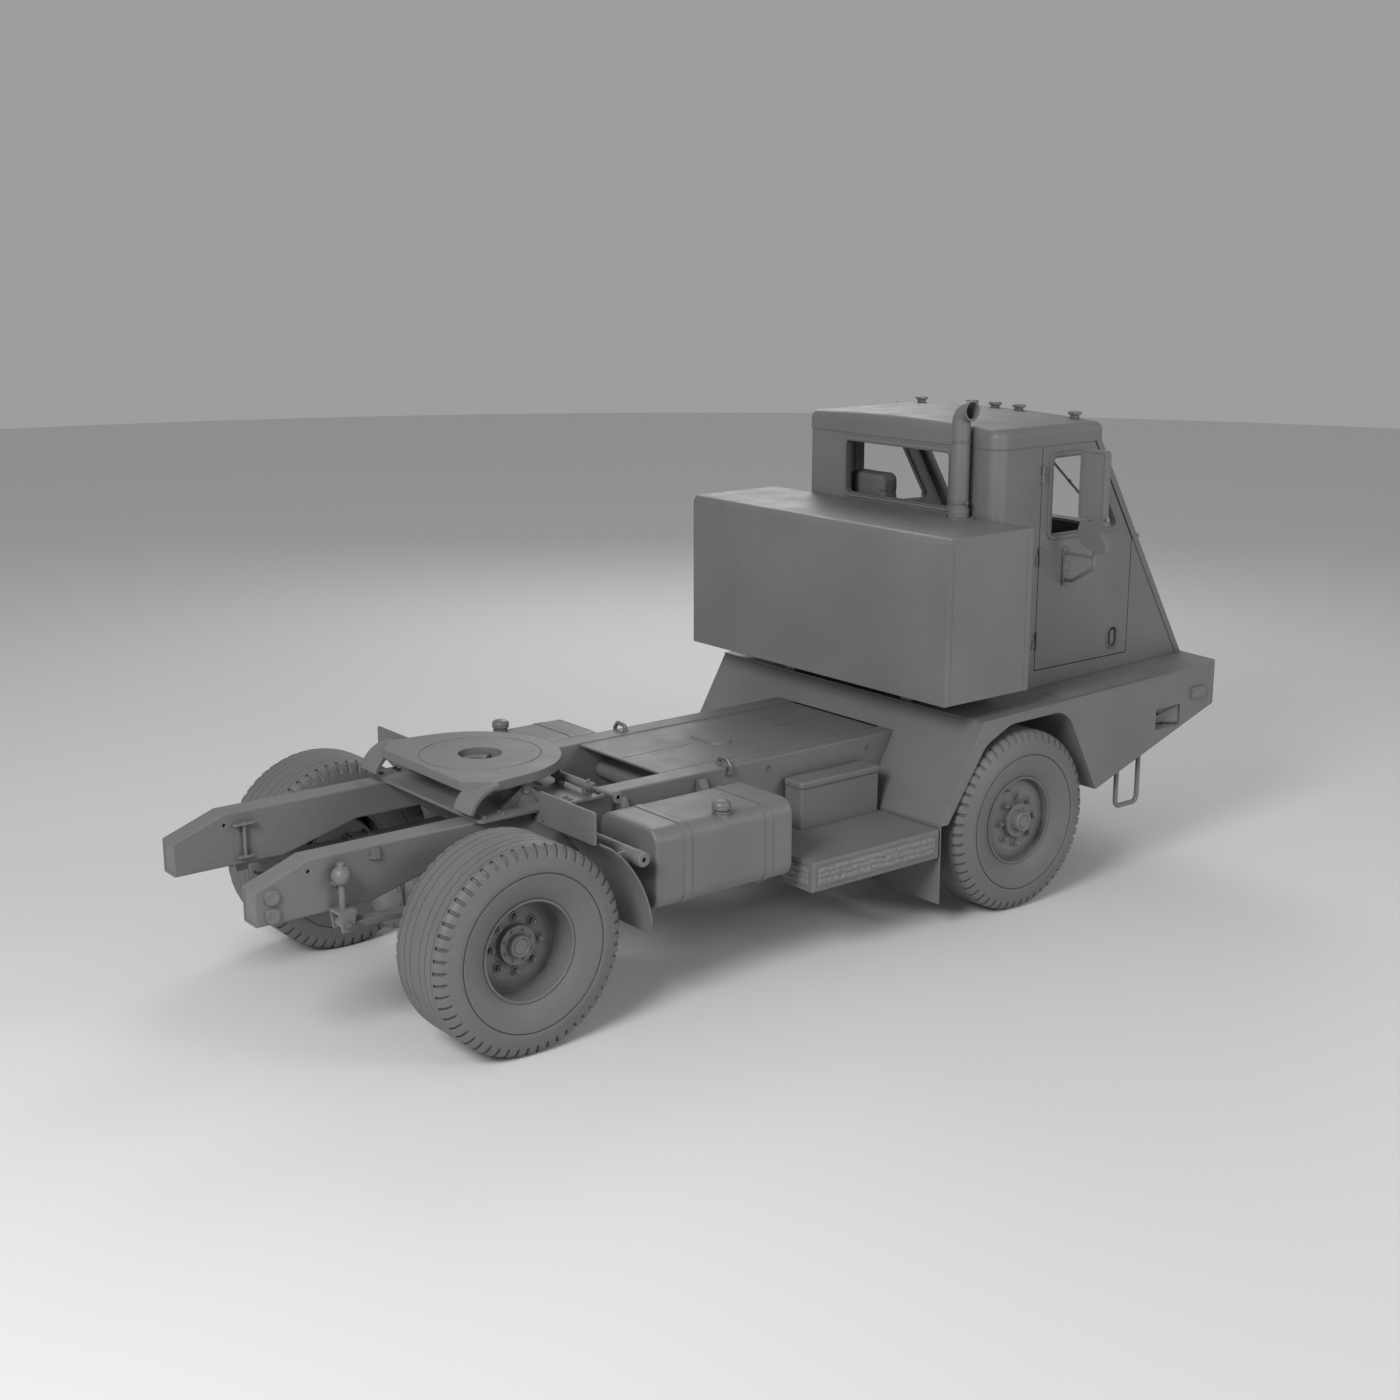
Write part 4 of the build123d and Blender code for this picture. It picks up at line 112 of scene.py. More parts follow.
def area_light(name, place, target, size, power, gloss=1.0):
    data = bpy.data.lights.new(name, "AREA")
    data.shape = "DISK"
    data.size = size
    data.energy = power
    data.specular_factor = gloss
    obj = bpy.data.objects.new(name, data)
    obj.location = place
    obj.rotation_euler = (Vector(target) - Vector(place)).to_track_quat("-Z", "Y").to_euler()
    bpy.context.scene.collection.objects.link(obj)


def studio():
    world = bpy.data.worlds.new("studio")
    bpy.context.scene.world = world
    world.use_nodes = True
    back = world.node_tree.nodes["Background"]
    back.inputs["Color"].default_value = (SKY_TONE, SKY_TONE, SKY_TONE, 1)
    back.inputs["Strength"].default_value = SKY_STRENGTH
    area_light("key", (-4.5, 10.0, 8.0), (0, 0, 1.2), 4.5, 980)
    area_light("side", (-10.0, -3.5, 5.0), (0, -0.5, 1.2), 4.0, 260)
    area_light("back", (7.0, -6.0, 7.0), (0, 0, 1.2), 5.0, 240, 0.15)
    view = bpy.context.scene.view_settings
    view.view_transform = "Standard"
    view.look = "None"
    mesh = bpy.data.meshes.new("floor")
    turns = [2 * pi * i / FLOOR_SIDES for i in range(FLOOR_SIDES)]
    ring = [(FLOOR_R * cos(a), FLOOR_R * sin(a), 0) for a in turns]
    mesh.from_pydata(ring, [], [list(range(FLOOR_SIDES))])
    floor = bpy.data.objects.new("floor", mesh)
    bpy.context.scene.collection.objects.link(floor)
    mat = bpy.data.materials.new("floor")
    mat.use_nodes = True
    nodes, link = mat.node_tree.nodes, mat.node_tree.links.new
    shader = nodes["Principled BSDF"]
    cloud = nodes.new("ShaderNodeTexNoise")
    cloud.inputs["Scale"].default_value = 0.6
    ramp = nodes.new("ShaderNodeMapRange")
    ramp.inputs["To Min"].default_value = 0.60
    ramp.inputs["To Max"].default_value = 0.75
    link(cloud.outputs["Fac"], ramp.inputs["Value"])
    link(ramp.outputs["Result"], shader.inputs["Roughness"])
    shader.inputs["Base Color"].default_value = (FLOOR_TONE, FLOOR_TONE, FLOOR_TONE, 1)
    mesh.materials.append(mat)


# Materials.
def node_math(nt, op, a, b=None):
    node = nt.nodes.new("ShaderNodeMath")
    node.operation = op
    for socket, value in zip(node.inputs, (a, b)):
        if value is None:
            continue
        if isinstance(value, (int, float)):
            socket.default_value = value
        else:
            nt.links.new(value, socket)
    return node.outputs[0]


def node_range(nt, value, low, high, to_low, to_high):
    node = nt.nodes.new("ShaderNodeMapRange")
    for key, number in (("From Min", low), ("From Max", high), ("To Min", to_low), ("To Max", to_high)):
        node.inputs[key].default_value = number
    nt.links.new(value, node.inputs["Value"])
    return node.outputs["Result"]


def node_noise(nt, where, scale, detail=3.0, stretch=None):
    if stretch:
        mapping = nt.nodes.new("ShaderNodeMapping")
        mapping.inputs["Scale"].default_value = stretch
        nt.links.new(where, mapping.inputs["Vector"])
        where = mapping.outputs["Vector"]
    node = nt.nodes.new("ShaderNodeTexNoise")
    node.inputs["Scale"].default_value = scale
    node.inputs["Detail"].default_value = detail
    nt.links.new(where, node.inputs["Vector"])
    return node.outputs["Fac"]


def orange_peel(nt, where):
    return node_noise(nt, where, 260, 2)


def casting(nt, where):
    coarse = node_noise(nt, where, 90, 4)
    fine = node_noise(nt, where, 420, 2)
    return node_math(nt, "ADD", coarse, node_math(nt, "MULTIPLY", fine, 0.4))


def scuffed(nt, where):
    long_marks = node_noise(nt, where, 14, 5, (1, 9, 9))
    fine = node_noise(nt, where, 300, 2)
    return node_math(nt, "ADD", long_marks, node_math(nt, "MULTIPLY", fine, 0.3))


def moulded(nt, where):
    cells = nt.nodes.new("ShaderNodeTexVoronoi")
    cells.inputs["Scale"].default_value = 420
    nt.links.new(where, cells.inputs["Vector"])
    return cells.outputs["Distance"]


def woven(nt, where):
    total = None
    for direction in ("X", "Z"):
        wave = nt.nodes.new("ShaderNodeTexWave")
        wave.bands_direction = direction
        wave.inputs["Scale"].default_value = 130
        wave.inputs["Distortion"].default_value = 0.4
        nt.links.new(where, wave.inputs["Vector"])
        total = wave.outputs["Fac"] if total is None else node_math(
            nt, "MULTIPLY", total, wave.outputs["Fac"],
        )
    return total


# Columns: slot, tone, roughness, metallic, broad variation, edge wear,
# edge radius in mm, bump height in mm, height pattern.
finishes = (
    ("frame_paint", 0.165, 0.46, 0.0, 0.09, 0.24, 8, 0.10, orange_peel),
    ("body_paint", 0.170, 0.44, 0.0, 0.06, 0.22, 5, 0.07, orange_peel),
    ("cab_paint", 0.170, 0.42, 0.0, 0.06, 0.22, 5, 0.06, orange_peel),
    ("plate_steel", 0.195, 0.44, 0.0, 0.08, 0.26, 9, 0.14, scuffed),
    ("cast_parts", 0.150, 0.56, 0.0, 0.12, 0.22, 5, 0.30, casting),
    ("spring_steel", 0.140, 0.52, 0.1, 0.14, 0.22, 3, 0.22, casting),
    ("wheel_paint", 0.172, 0.42, 0.0, 0.08, 0.24, 4, 0.08, orange_peel),
    ("tyre_rubber", 0.148, 0.56, 0.0, 0.10, 0.10, 2, 0.14, casting),
    ("flap_rubber", 0.125, 0.62, 0.0, 0.10, 0.10, 3, 0.18, moulded),
    ("tank_metal", 0.172, 0.38, 0.1, 0.08, 0.24, 5, 0.06, scuffed),
    ("pipe_metal", 0.165, 0.36, 0.2, 0.10, 0.24, 3, 0.08, scuffed),
    ("lamp_plastic", 0.180, 0.28, 0.0, 0.06, 0.12, 3, 0.03, moulded),
    ("mirror_plastic", 0.160, 0.42, 0.0, 0.08, 0.16, 5, 0.08, moulded),
    ("trim_plastic", 0.120, 0.52, 0.0, 0.10, 0.14, 3, 0.10, moulded),
    ("seat_fabric", 0.130, 0.85, 0.0, 0.12, 0.08, 3, 0.30, woven),
)
MATS = {}


def make_finish(slot, tone, rough, metal, broad_share, wear, edge_mm, bump_mm, pattern):
    mat = bpy.data.materials.new(slot)
    mat.use_nodes = True
    nt = mat.node_tree
    link = nt.links.new
    shader = nt.nodes["Principled BSDF"]
    shader.inputs["Metallic"].default_value = metal
    where = nt.nodes.new("ShaderNodeTexCoord").outputs["Object"]
    broad = node_noise(nt, where, 1.7, 6)
    speck = node_noise(nt, where, 55, 3)
    tone_out = node_range(nt, broad, 0.35, 0.68, tone * (1 - broad_share), tone * (1 + 0.6 * broad_share))
    tone_out = node_math(nt, "MULTIPLY", tone_out, node_range(nt, speck, 0.35, 0.7, 0.96, 1.03))
    # Edges: the rounded normal leaves the true one there, where paint and rubber wear lighter.
    bevel = nt.nodes.new("ShaderNodeBevel")
    bevel.samples = 4
    bevel.inputs["Radius"].default_value = edge_mm / 1000
    true_normal = nt.nodes.new("ShaderNodeNewGeometry").outputs["Normal"]
    dot = nt.nodes.new("ShaderNodeVectorMath")
    dot.operation = "DOT_PRODUCT"
    link(bevel.outputs["Normal"], dot.inputs[0])
    link(true_normal, dot.inputs[1])
    edge = node_range(nt, dot.outputs["Value"], 0.995, 0.88, 0.0, 1.0)
    edge = node_math(nt, "MULTIPLY", edge, node_range(nt, speck, 0.40, 0.60, 0.35, 1.0))
    worn = node_math(nt, "MULTIPLY", edge, wear * tone)
    # Painted shade: ambient occlusion darkens the colour in corners, creases and hollows, where shade falls.
    hollow = nt.nodes.new("ShaderNodeAmbientOcclusion")
    hollow.samples = 4
    hollow.inputs["Distance"].default_value = 0.06
    # Painted shade factor from the occlusion: 0.72 in deep corners, rising to 1 in the open.
    painted_shade = node_range(nt, hollow.outputs["AO"], 0.25, 0.95, 0.72, 1.0)
    tone_out = node_math(nt, "MULTIPLY", node_math(nt, "ADD", tone_out, worn), painted_shade)
    colour = nt.nodes.new("ShaderNodeCombineColor")
    for key in ("Red", "Green", "Blue"):
        link(tone_out, colour.inputs[key])
    link(colour.outputs["Color"], shader.inputs["Base Color"])
    smear = node_noise(nt, where, 6, 5, (1, 1, 2.5))
    link(node_range(nt, smear, 0.3, 0.7, rough - 0.06, rough + 0.08), shader.inputs["Roughness"])
    bump = nt.nodes.new("ShaderNodeBump")
    bump.inputs["Strength"].default_value = 0.6
    bump.inputs["Distance"].default_value = bump_mm / 1000
    link(pattern(nt, where), bump.inputs["Height"])
    link(bevel.outputs["Normal"], bump.inputs["Normal"])
    link(bump.outputs["Normal"], shader.inputs["Normal"])
    return mat


def paint_frame():
    """Each CAD node takes the finish of its slot in the record."""
    for row in finishes:
        MATS[row[0]] = make_finish(*row)
    slots = {}
    for entry in frame["record"]["materials"]:
        for node in entry.get("nodes", []):
            slots[node] = entry["slot"]
    for name, obj in frame["nodes"].items():
        finish = MATS[slots.get(name, "frame_paint")]
        obj.data.materials.clear()
        obj.data.materials.append(finish)


# Mesh tools.
class Build:
    """Vertices and faces of one piece, gathered from small shapes."""

    def __init__(self):
        self.verts = []
        self.faces = []

    def add(self, shape, at=None):
        verts, faces = shape
        start = len(self.verts)
        at = at or Matrix()
        self.verts += [at @ Vector(v) for v in verts]
        self.faces += [[start + i for i in f] for f in faces]
        return self

    def pipe(self, *args, **kwargs):
        return self.add(tube(*args, **kwargs))

    def sweep(self, *args, **kwargs):
        return self.add(strip(*args, **kwargs))

    def skin(self, *args, **kwargs):
        return self.add(loft(*args, **kwargs))

    def bolt(self, r, h, *where):
        """Hex head at frame_at(*where), as the next three shapes are set."""
        return self.add(hex_bolt(r, h), frame_at(*where))

    def rivet(self, r, h, *where):
        return self.add(rivet(r, h), frame_at(*where))

    def box(self, w, h, t, r, *where):
        return self.add(rounded_box(w, h, t, r), frame_at(*where))

    def turn(self, profile, steps, *where):
        return self.add(lathe(profile, steps), frame_at(*where))

    def piece(self, name, body, slot, sharp=32):
        mesh = bpy.data.meshes.new(name)
        mesh.from_pydata(self.verts, [], self.faces)
        bm = bmesh.new()
        bm.from_mesh(mesh)
        bmesh.ops.remove_doubles(bm, verts=bm.verts, dist=1e-6)
        bmesh.ops.recalc_face_normals(bm, faces=bm.faces)
        bm.to_mesh(mesh)
        bm.free()
        mesh.shade_smooth()
        mesh.set_sharp_from_angle(angle=radians(sharp))
        obj = bpy.data.objects.new(name, mesh)
        bpy.context.scene.collection.objects.link(obj)
        mesh.materials.append(MATS[slot])
        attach(obj, body)
        return obj


def frame_at(origin, normal, up=(0, 0, 1)):
    """Matrix that puts local Z on the normal and local Y near up."""
    z = Vector(normal).normalized()
    u = Vector(up)
    if abs(z.dot(u.normalized())) > 0.98:
        u = Vector((0, 1, 0))
    x = u.cross(z).normalized()
    y = z.cross(x)
    rot = Matrix((x, y, z)).transposed().to_4x4()
    return Matrix.Translation(Vector(origin)) @ rot


def lathe(profile, steps=24):
    """Shape turned about local Z from rows of radius and height."""
    verts, faces = [], []
    n = len(profile)
    for s in range(steps):
        a = 2 * pi * s / steps
        verts += [(r * cos(a), r * sin(a), z) for r, z in profile]
    for s in range(steps):
        t = (s + 1) % steps
        faces += [[s * n + k, t * n + k, t * n + k + 1, s * n + k + 1] for k in range(n - 1)]
    return verts, faces


def loft(rings, caps=True):
    """Skin over closed rings of points, each ring with as many points."""
    n = len(rings[0])
    verts = [tuple(p) for ring in rings for p in ring]
    faces = []
    for k in range(len(rings) - 1):
        for i in range(n):
            j = (i + 1) % n
            faces.append([k * n + i, k * n + j, (k + 1) * n + j, (k + 1) * n + i])
    if caps:
        faces.append(list(range(n))[::-1])
        faces.append([(len(rings) - 1) * n + i for i in range(n)])
    return verts, faces


def rect(w, h, r=0.0, steps=4):
    """Rounded rectangle's points about the origin."""
    if r <= 0:
        return [(w / 2, h / 2), (-w / 2, h / 2), (-w / 2, -h / 2), (w / 2, -h / 2)]
    pts = []
    for cx, cy, a0 in ((1, 1, 0), (-1, 1, 90), (-1, -1, 180), (1, -1, 270)):
        for i in range(steps + 1):
            a = radians(a0 + 90 * i / steps)
            pts.append((cx * (w / 2 - r) + r * cos(a), cy * (h / 2 - r) + r * sin(a)))
    return pts


def hex_bolt(r, h):
    """Hex head with a chamfered crown on a round washer."""
    parts = Build()
    base = r * 0.28
    parts.add(lathe([(0, 0), (r * 1.45, 0), (r * 1.45, r * 0.22), (r * 1.38, base), (0, base)], 18))
    rings = []
    for z, grow in ((base, 1.0), (base + h * 0.8, 1.0), (base + h, 0.86)):
        rings.append([(r * grow * cos(i * pi / 3), r * grow * sin(i * pi / 3), z) for i in range(6)])
    parts.skin(rings)
    return parts.verts, parts.faces


def rivet(r, h):
    """Domed rivet head."""
    rows = [(r, 0)] + [(r * cos(radians(a)), h * sin(radians(a))) for a in (20, 40, 60, 78)] + [(0, h)]
    return lathe(rows, 12)


def rounded(points, r, steps=5):
    """Closed polygon in a plane with its corners rounded; points are 3-D."""
    out = []
    n = len(points)
    for i in range(n):
        p, a, b = Vector(points[i]), Vector(points[i - 1]), Vector(points[(i + 1) % n])
        da, db = (a - p).normalized(), (b - p).normalized()
        half = da.angle(db) / 2
        cut = r / (sin(half) / cos(half))
        centre = p + (da + db).normalized() * (r / sin(half))
        start, end = p + da * cut - centre, p + db * cut - centre
        for k in range(steps + 1):
            out.append(centre + start.slerp(end, k / steps).normalized() * r)
    return out


def strip(path, normal, section, closed=True):
    """Section swept along a flat path: u points to the path's left as seen against the normal, v along it."""
    nrm = Vector(normal).normalized()
    pts = [Vector(p) for p in path]
    n = len(pts)
    rings = []
    for i in range(n):
        prev = pts[i - 1] if closed or i else pts[i] * 2 - pts[i + 1]
        nxt = pts[(i + 1) % n] if closed or i < n - 1 else pts[i] * 2 - pts[i - 1]
        d1, d2 = (pts[i] - prev).normalized(), (nxt - pts[i]).normalized()
        side = nrm.cross(d1 + d2).normalized()
        mitre = 1 / max(0.4, side.dot(nrm.cross(d1)))
        rings.append([pts[i] + side * (u * mitre) + nrm * v for u, v in section])
    if closed:
        rings.append(rings[0])
    return loft(rings, caps=not closed)


def tube(points, r, steps=12, closed=False):
    """Round bar along a 3-D path."""
    pts = [Vector(p) for p in points]
    n = len(pts)
    rings = []
    side = None
    for i, p in enumerate(pts):
        after = pts[(i + 1) % n] if closed else pts[min(i + 1, n - 1)]
        before = pts[i - 1] if closed else pts[max(i - 1, 0)]
        d = (after - before).normalized()
        if side is None:
            side = d.orthogonal().normalized()
        side = (side - d * side.dot(d)).normalized()
        other = d.cross(side)
        turns = [2 * pi * k / steps for k in range(steps)]
        rings.append([p + (side * cos(a) + other * sin(a)) * r for a in turns])
    if closed:
        rings.append(rings[0])
    return loft(rings, caps=not closed)


def bend(points, r, steps=5):
    """Open 3-D path with its corners rounded."""
    out = [Vector(points[0])]
    for i in range(1, len(points) - 1):
        p, a, b = Vector(points[i]), Vector(points[i - 1]), Vector(points[i + 1])
        da, db = (a - p).normalized(), (b - p).normalized()
        half = da.angle(db) / 2
        cut = r * cos(half) / sin(half)
        centre = p + (da + db).normalized() * (r / sin(half))
        start, end = p + da * cut - centre, p + db * cut - centre
        out += [centre + start.slerp(end, k / steps).normalized() * r for k in range(steps + 1)]
    return out + [Vector(points[-1])]


def rounded_box(w, h, t, r=0.006):
    """Box with every edge broken, centred on local x and y, standing on local z = 0."""
    c = min(r, t * 0.45, w * 0.3, h * 0.3)
    low, high = [], []
    for k in range(5):
        angle = k * pi / 8
        grow = c * (1 - sin(angle))
        rise = c * (1 - cos(angle))
        outline = rect(w - 2 * grow, h - 2 * grow, max(r - grow, 5e-4))
        low.append([(x, y, rise) for x, y in outline])
        high.append([(x, y, t - rise) for x, y in outline])
    return loft(low + high[::-1])


def mirrored(make):
    """Runs make(side, name) for the left side at +X and the right side at -X."""
    for side, name in SIDES:
        make(side, name)


# Tyres and wheels. Columns: name, side, axle y, radius, width, outer face x.
wheel_rows = (
    ("front_left", 1, FRONT_AXLE_Y, 0.540, 0.300, 1.195),
    ("front_right", -1, FRONT_AXLE_Y, 0.540, 0.300, 1.195),
    ("rear_left", 1, REAR_AXLE_Y, 0.534, 0.450, 1.152),
    ("rear_right", -1, REAR_AXLE_Y, 0.534, 0.450, 1.152),
)
NOTCHES = 54
NOTCH_DEPTH = 0.011
NOTCH_REACH = 0.058
# Share of one notch pitch, and how deep the notch is there.
notch_steps = ((0.0, 0.0), (0.12, 0.0), (0.20, 0.75), (0.36, 1.0), (0.44, 0.1), (0.60, 0.0), (0.80, 0.0))
CROWN_IN = 0.062        # crown's edge inside the tyre's widest plane
GROOVE_W = 0.0022
GROOVE_DEPTH = 0.007
groove_shares = (0.93, 0.60, 0.28)


def sidewall(half_w, radius):
    """Rows of a, r from the bead to the shoulder: hollow wall, ring groove, plain outer band."""
    return [
        (half_w - 0.0500, 0.2620),
        (half_w - 0.0440, 0.2700),
        (half_w - 0.0350, 0.2830),
        (half_w - 0.0250, 0.3000),
        (half_w - 0.0165, 0.3220),
        (half_w - 0.0100, 0.3450),
        (half_w - 0.0055, 0.3680),
        (half_w - 0.0030, 0.3850),
        (half_w - 0.0012, 0.3950),
        (half_w - 0.0022, 0.3985),
        (half_w - 0.0085, 0.3998),
        (half_w - 0.0085, 0.4030),
        (half_w - 0.0020, 0.4042),
        (half_w - 0.0003, 0.4080),
        (half_w, 0.4250),
        (half_w - 0.0025, 0.4400),
        (half_w - 0.0060, 0.4510),
        (half_w - 0.0075, radius - 0.0760),
    ]


def tread_rows(half_w, radius):
    """Rows of a, r, notch share from the shoulder to the crown's middle, with narrow grooves."""
    crown = half_w - CROWN_IN
    shoulder = (
        (half_w - 0.0100, radius - 0.0700),
        (half_w - 0.0130, radius - NOTCH_REACH),
        (half_w - 0.0175, radius - 0.0440),
        (half_w - 0.0240, radius - 0.0290),
        (half_w - 0.0320, radius - 0.0160),
        (half_w - 0.0420, radius - 0.0070),
        (half_w - 0.0520, radius - 0.0025),
        (crown, radius - 0.0008),
    )
    rows = []
    for (a0, r0), (a1, r1) in zip(shoulder, shoulder[1:]):
        n = max(1, round(hypot(a1 - a0, r1 - r0) / 0.008))
        for k in range(n):
            r = r0 + (r1 - r0) * k / n
            share = min(1.0, max(0.0, (r - radius + NOTCH_REACH) / 0.020))
            rows.append((a0 + (a1 - a0) * k / n, r, share))
    rows.append((crown, radius - 0.0008, 1.0))
    rows.append((crown - 0.0006, radius - 0.0008, 0.0))
    edges = []
    for share in groove_shares:
        at = share * crown - 0.004
        edges += [
            (at + GROOVE_W, 0.0),
            (at + GROOVE_W * 0.6, GROOVE_DEPTH),
            (at - GROOVE_W * 0.6, GROOVE_DEPTH),
            (at - GROOVE_W, 0.0),
        ]
    rows += [(a, radius - depth, 0.0) for a, depth in edges]
    return rows + [(0.0, radius, 0.0)]


def tyre(name, side, axle_y, radius, width, out_x):
    half_w = width / 2
    half = [(a, r, 0.0) for a, r in sidewall(half_w, radius)] + tread_rows(half_w, radius)
    profile = half + [(-a, r, share) for a, r, share in reversed(half[:-1])]
    centre = Vector((side * (out_x - half_w), axle_y, radius))
    zig_low, zig_high = 0.45 * (half_w - CROWN_IN), 0.75 * (half_w - CROWN_IN)
    turns = [((k + at) / NOTCHES, depth) for k in range(NOTCHES) for at, depth in notch_steps]
    shape = Build()
    n = len(profile)
    for turn, depth in turns:
        angle = 2 * pi * turn
        zig = 0.0035 * (4 * abs((turn * NOTCHES) % 1 - 0.5) - 1)
        for a, r, share in profile:
            cut = NOTCH_DEPTH * depth * share
            lean = 0.75 * cut * (1 if a > 0 else -1)
            slide = zig if zig_low < abs(a) < zig_high else 0.0
            rr = r - cut
            shape.verts.append(
                centre + Vector((side * (a - lean + slide), rr * sin(angle), rr * cos(angle)))
            )
    for s in range(len(turns)):
        t = (s + 1) % len(turns)
        for k in range(n):
            m = (k + 1) % n
            shape.faces.append([s * n + k, t * n + k, t * n + m, s * n + m])
    obj = shape.piece(f"tyre_tread_{name}", body_of_wheel(name), "tyre_rubber", sharp=34)
    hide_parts(f"tyre_{name}")


def body_of_wheel(name):
    end, side = name.split("_")
    return f"{end}_wheel_{side}"


# Depths below the tyre's outer plane: disc, hub ring, cap.
wheel_depths = {"front": (0.078, 0.044, 0.004), "rear": (0.187, 0.153, 0.121)}
LUG_PITCH_R = 0.140
LUG_H = 0.026


def wheel_fittings(name, side, axle_y, radius, width, out_x):
    """Stud ends, nut seats, ring bolts, centre plug, rim bead and valve of each wheel."""
    disc, ring, cap = wheel_depths[name.split("_")[0]]
    hub = Vector((side * out_x, axle_y, radius))
    out = Vector((side, 0, 0))
    shape = Build()
    for i in range(8):
        a = 2 * pi * i / 8
        spot = Vector((0, cos(a), sin(a))) * LUG_PITCH_R
        stud = [(0, 0), (0.0085, 0), (0.0085, 0.009), (0.006, 0.012), (0, 0.012)]
        shape.turn(stud, 14, hub - out * (disc - LUG_H) + spot, out)
        seat = [(0.026, -0.001), (0.026, 0.003), (0.0225, 0.007), (0.0165, 0.0072)]
        shape.turn(seat, 24, hub - out * disc + spot, out)
        b = a + pi / 8
        head = hub - out * (ring + 0.0002) + Vector((0, cos(b), sin(b))) * 0.081
        shape.bolt(0.0065, 0.0055, head, out)
    plug = [(0.037, -0.001), (0.037, 0.0015), (0.034, 0.003), (0.014, 0.003), (0.012, 0.0015), (0, 0.0015)]
    shape.turn(plug, 32, hub - out * (cap + 0.006), out)
    bead = [
        (0.2495, -0.006), (0.2495, 0.0005), (0.2515, 0.0022), (0.2550, 0.0022), (0.2575, 0.0),
        (0.2575, -0.006),
    ]
    shape.turn(bead, 120, hub - out * 0.045, out)
    shape.piece(f"wheel_nuts_{name}", body_of_wheel(name), "wheel_paint")
    valve = Build()
    tilt = Vector((0, sin(0.4), cos(0.4)))
    base = hub - out * (disc - 0.012) + tilt * 0.205
    tip = base + out * 0.035 + tilt * 0.014
    valve.pipe(bend([base - out * 0.02, base, tip], 0.008), 0.0045, 10)
    valve.piece(f"valve_{name}", body_of_wheel(name), "wheel_paint")


# Cab.
RUBBER = [(-0.005, -0.030), (0.004, -0.030), (0.004, 0.0), (0.003, 0.004), (0.0, 0.0055), (-0.004, 0.004),
          (-0.005, 0.0)]
REAR_WINDOW = (0.896, 0.326)
REAR_WINDOW_Z = 2.457
WINDOW_R = 0.028
FRAME_T = 0.008
SIDE_WINDOW_Z = (2.127, 2.592)
SIDE_WINDOW_REAR = -1.860
SCREEN_Z = (2.105, 2.612)
SCREEN_W = 1.470
screen_out = Vector((0, -cos(atan(NOSE_RAKE)), sin(atan(NOSE_RAKE))))


def side_window(x):
    z0, z1 = SIDE_WINDOW_Z
    front = 0.126
    return [
        (x, SIDE_WINDOW_REAR, z0), (x, SIDE_WINDOW_REAR, z1), (x, nose_y(z1, front), z1),
        (x, nose_y(z0, front), z0),
    ]


def window_rubbers():
    """Dark rubber channel round each window opening."""
    w, h = REAR_WINDOW
    y = CAB_REAR_Y + FRAME_T
    corners = [(w / 2, y, REAR_WINDOW_Z + h / 2), (-w / 2, y, REAR_WINDOW_Z + h / 2),
               (-w / 2, y, REAR_WINDOW_Z - h / 2), (w / 2, y, REAR_WINDOW_Z - h / 2)]
    rear = Build().sweep(rounded(corners, WINDOW_R), (0, 1, 0), RUBBER)
    rear.piece("rear_window_rubber", "chassis", "trim_plastic")

    def door_rubber(side, name):
        path = rounded(side_window(side * (CAB_X + FRAME_T)), WINDOW_R)
        if side > 0:
            path = path[::-1]
        door = Build().sweep(path, (side, 0, 0), RUBBER)
        door.piece(f"window_rubber_{name}", f"door_{name}", "trim_plastic")

    mirrored(door_rubber)
    z0, z1 = SCREEN_Z
    corners = [
        (SCREEN_W / 2, nose_y(z0), z0), (-SCREEN_W / 2, nose_y(z0), z0),
        (-SCREEN_W / 2, nose_y(z1), z1), (SCREEN_W / 2, nose_y(z1), z1),
    ]
    screen = Build().sweep(rounded(corners, WINDOW_R), screen_out, RUBBER)
    screen.piece("windscreen_rubber", "chassis", "trim_plastic")


def roof_seam():
    """Rolled drip rail where the roof cap meets the cab's walls."""
    x, y = CAB_X + 0.0005, CAB_REAR_Y + 0.0005
    front = nose_y(SEAM_Z, 0.055)
    path = bend([(-x, front, SEAM_Z), (-x, y, SEAM_Z), (x, y, SEAM_Z), (x, front, SEAM_Z)], 0.080, 8)
    section = [
        (-0.001, -0.006), (0.004, -0.006), (0.0062, -0.003), (0.0062, 0.003), (0.004, 0.006),
        (-0.001, 0.006),
    ]
    rail = Build().sweep(path, (0, 0, 1), [(-u, v) for u, v in section], closed=False)
    rail.piece("roof_drip_rail", "chassis", "cab_paint")


DOOR_FRONT_Y = -2.620
DOOR_REAR_Y = -1.780
DOOR_LOW_Z = 1.317
PULL = (DOOR_FRONT_Y + 0.140, 1.430)
HINGE_Z = (1.447, 1.957, 2.447)


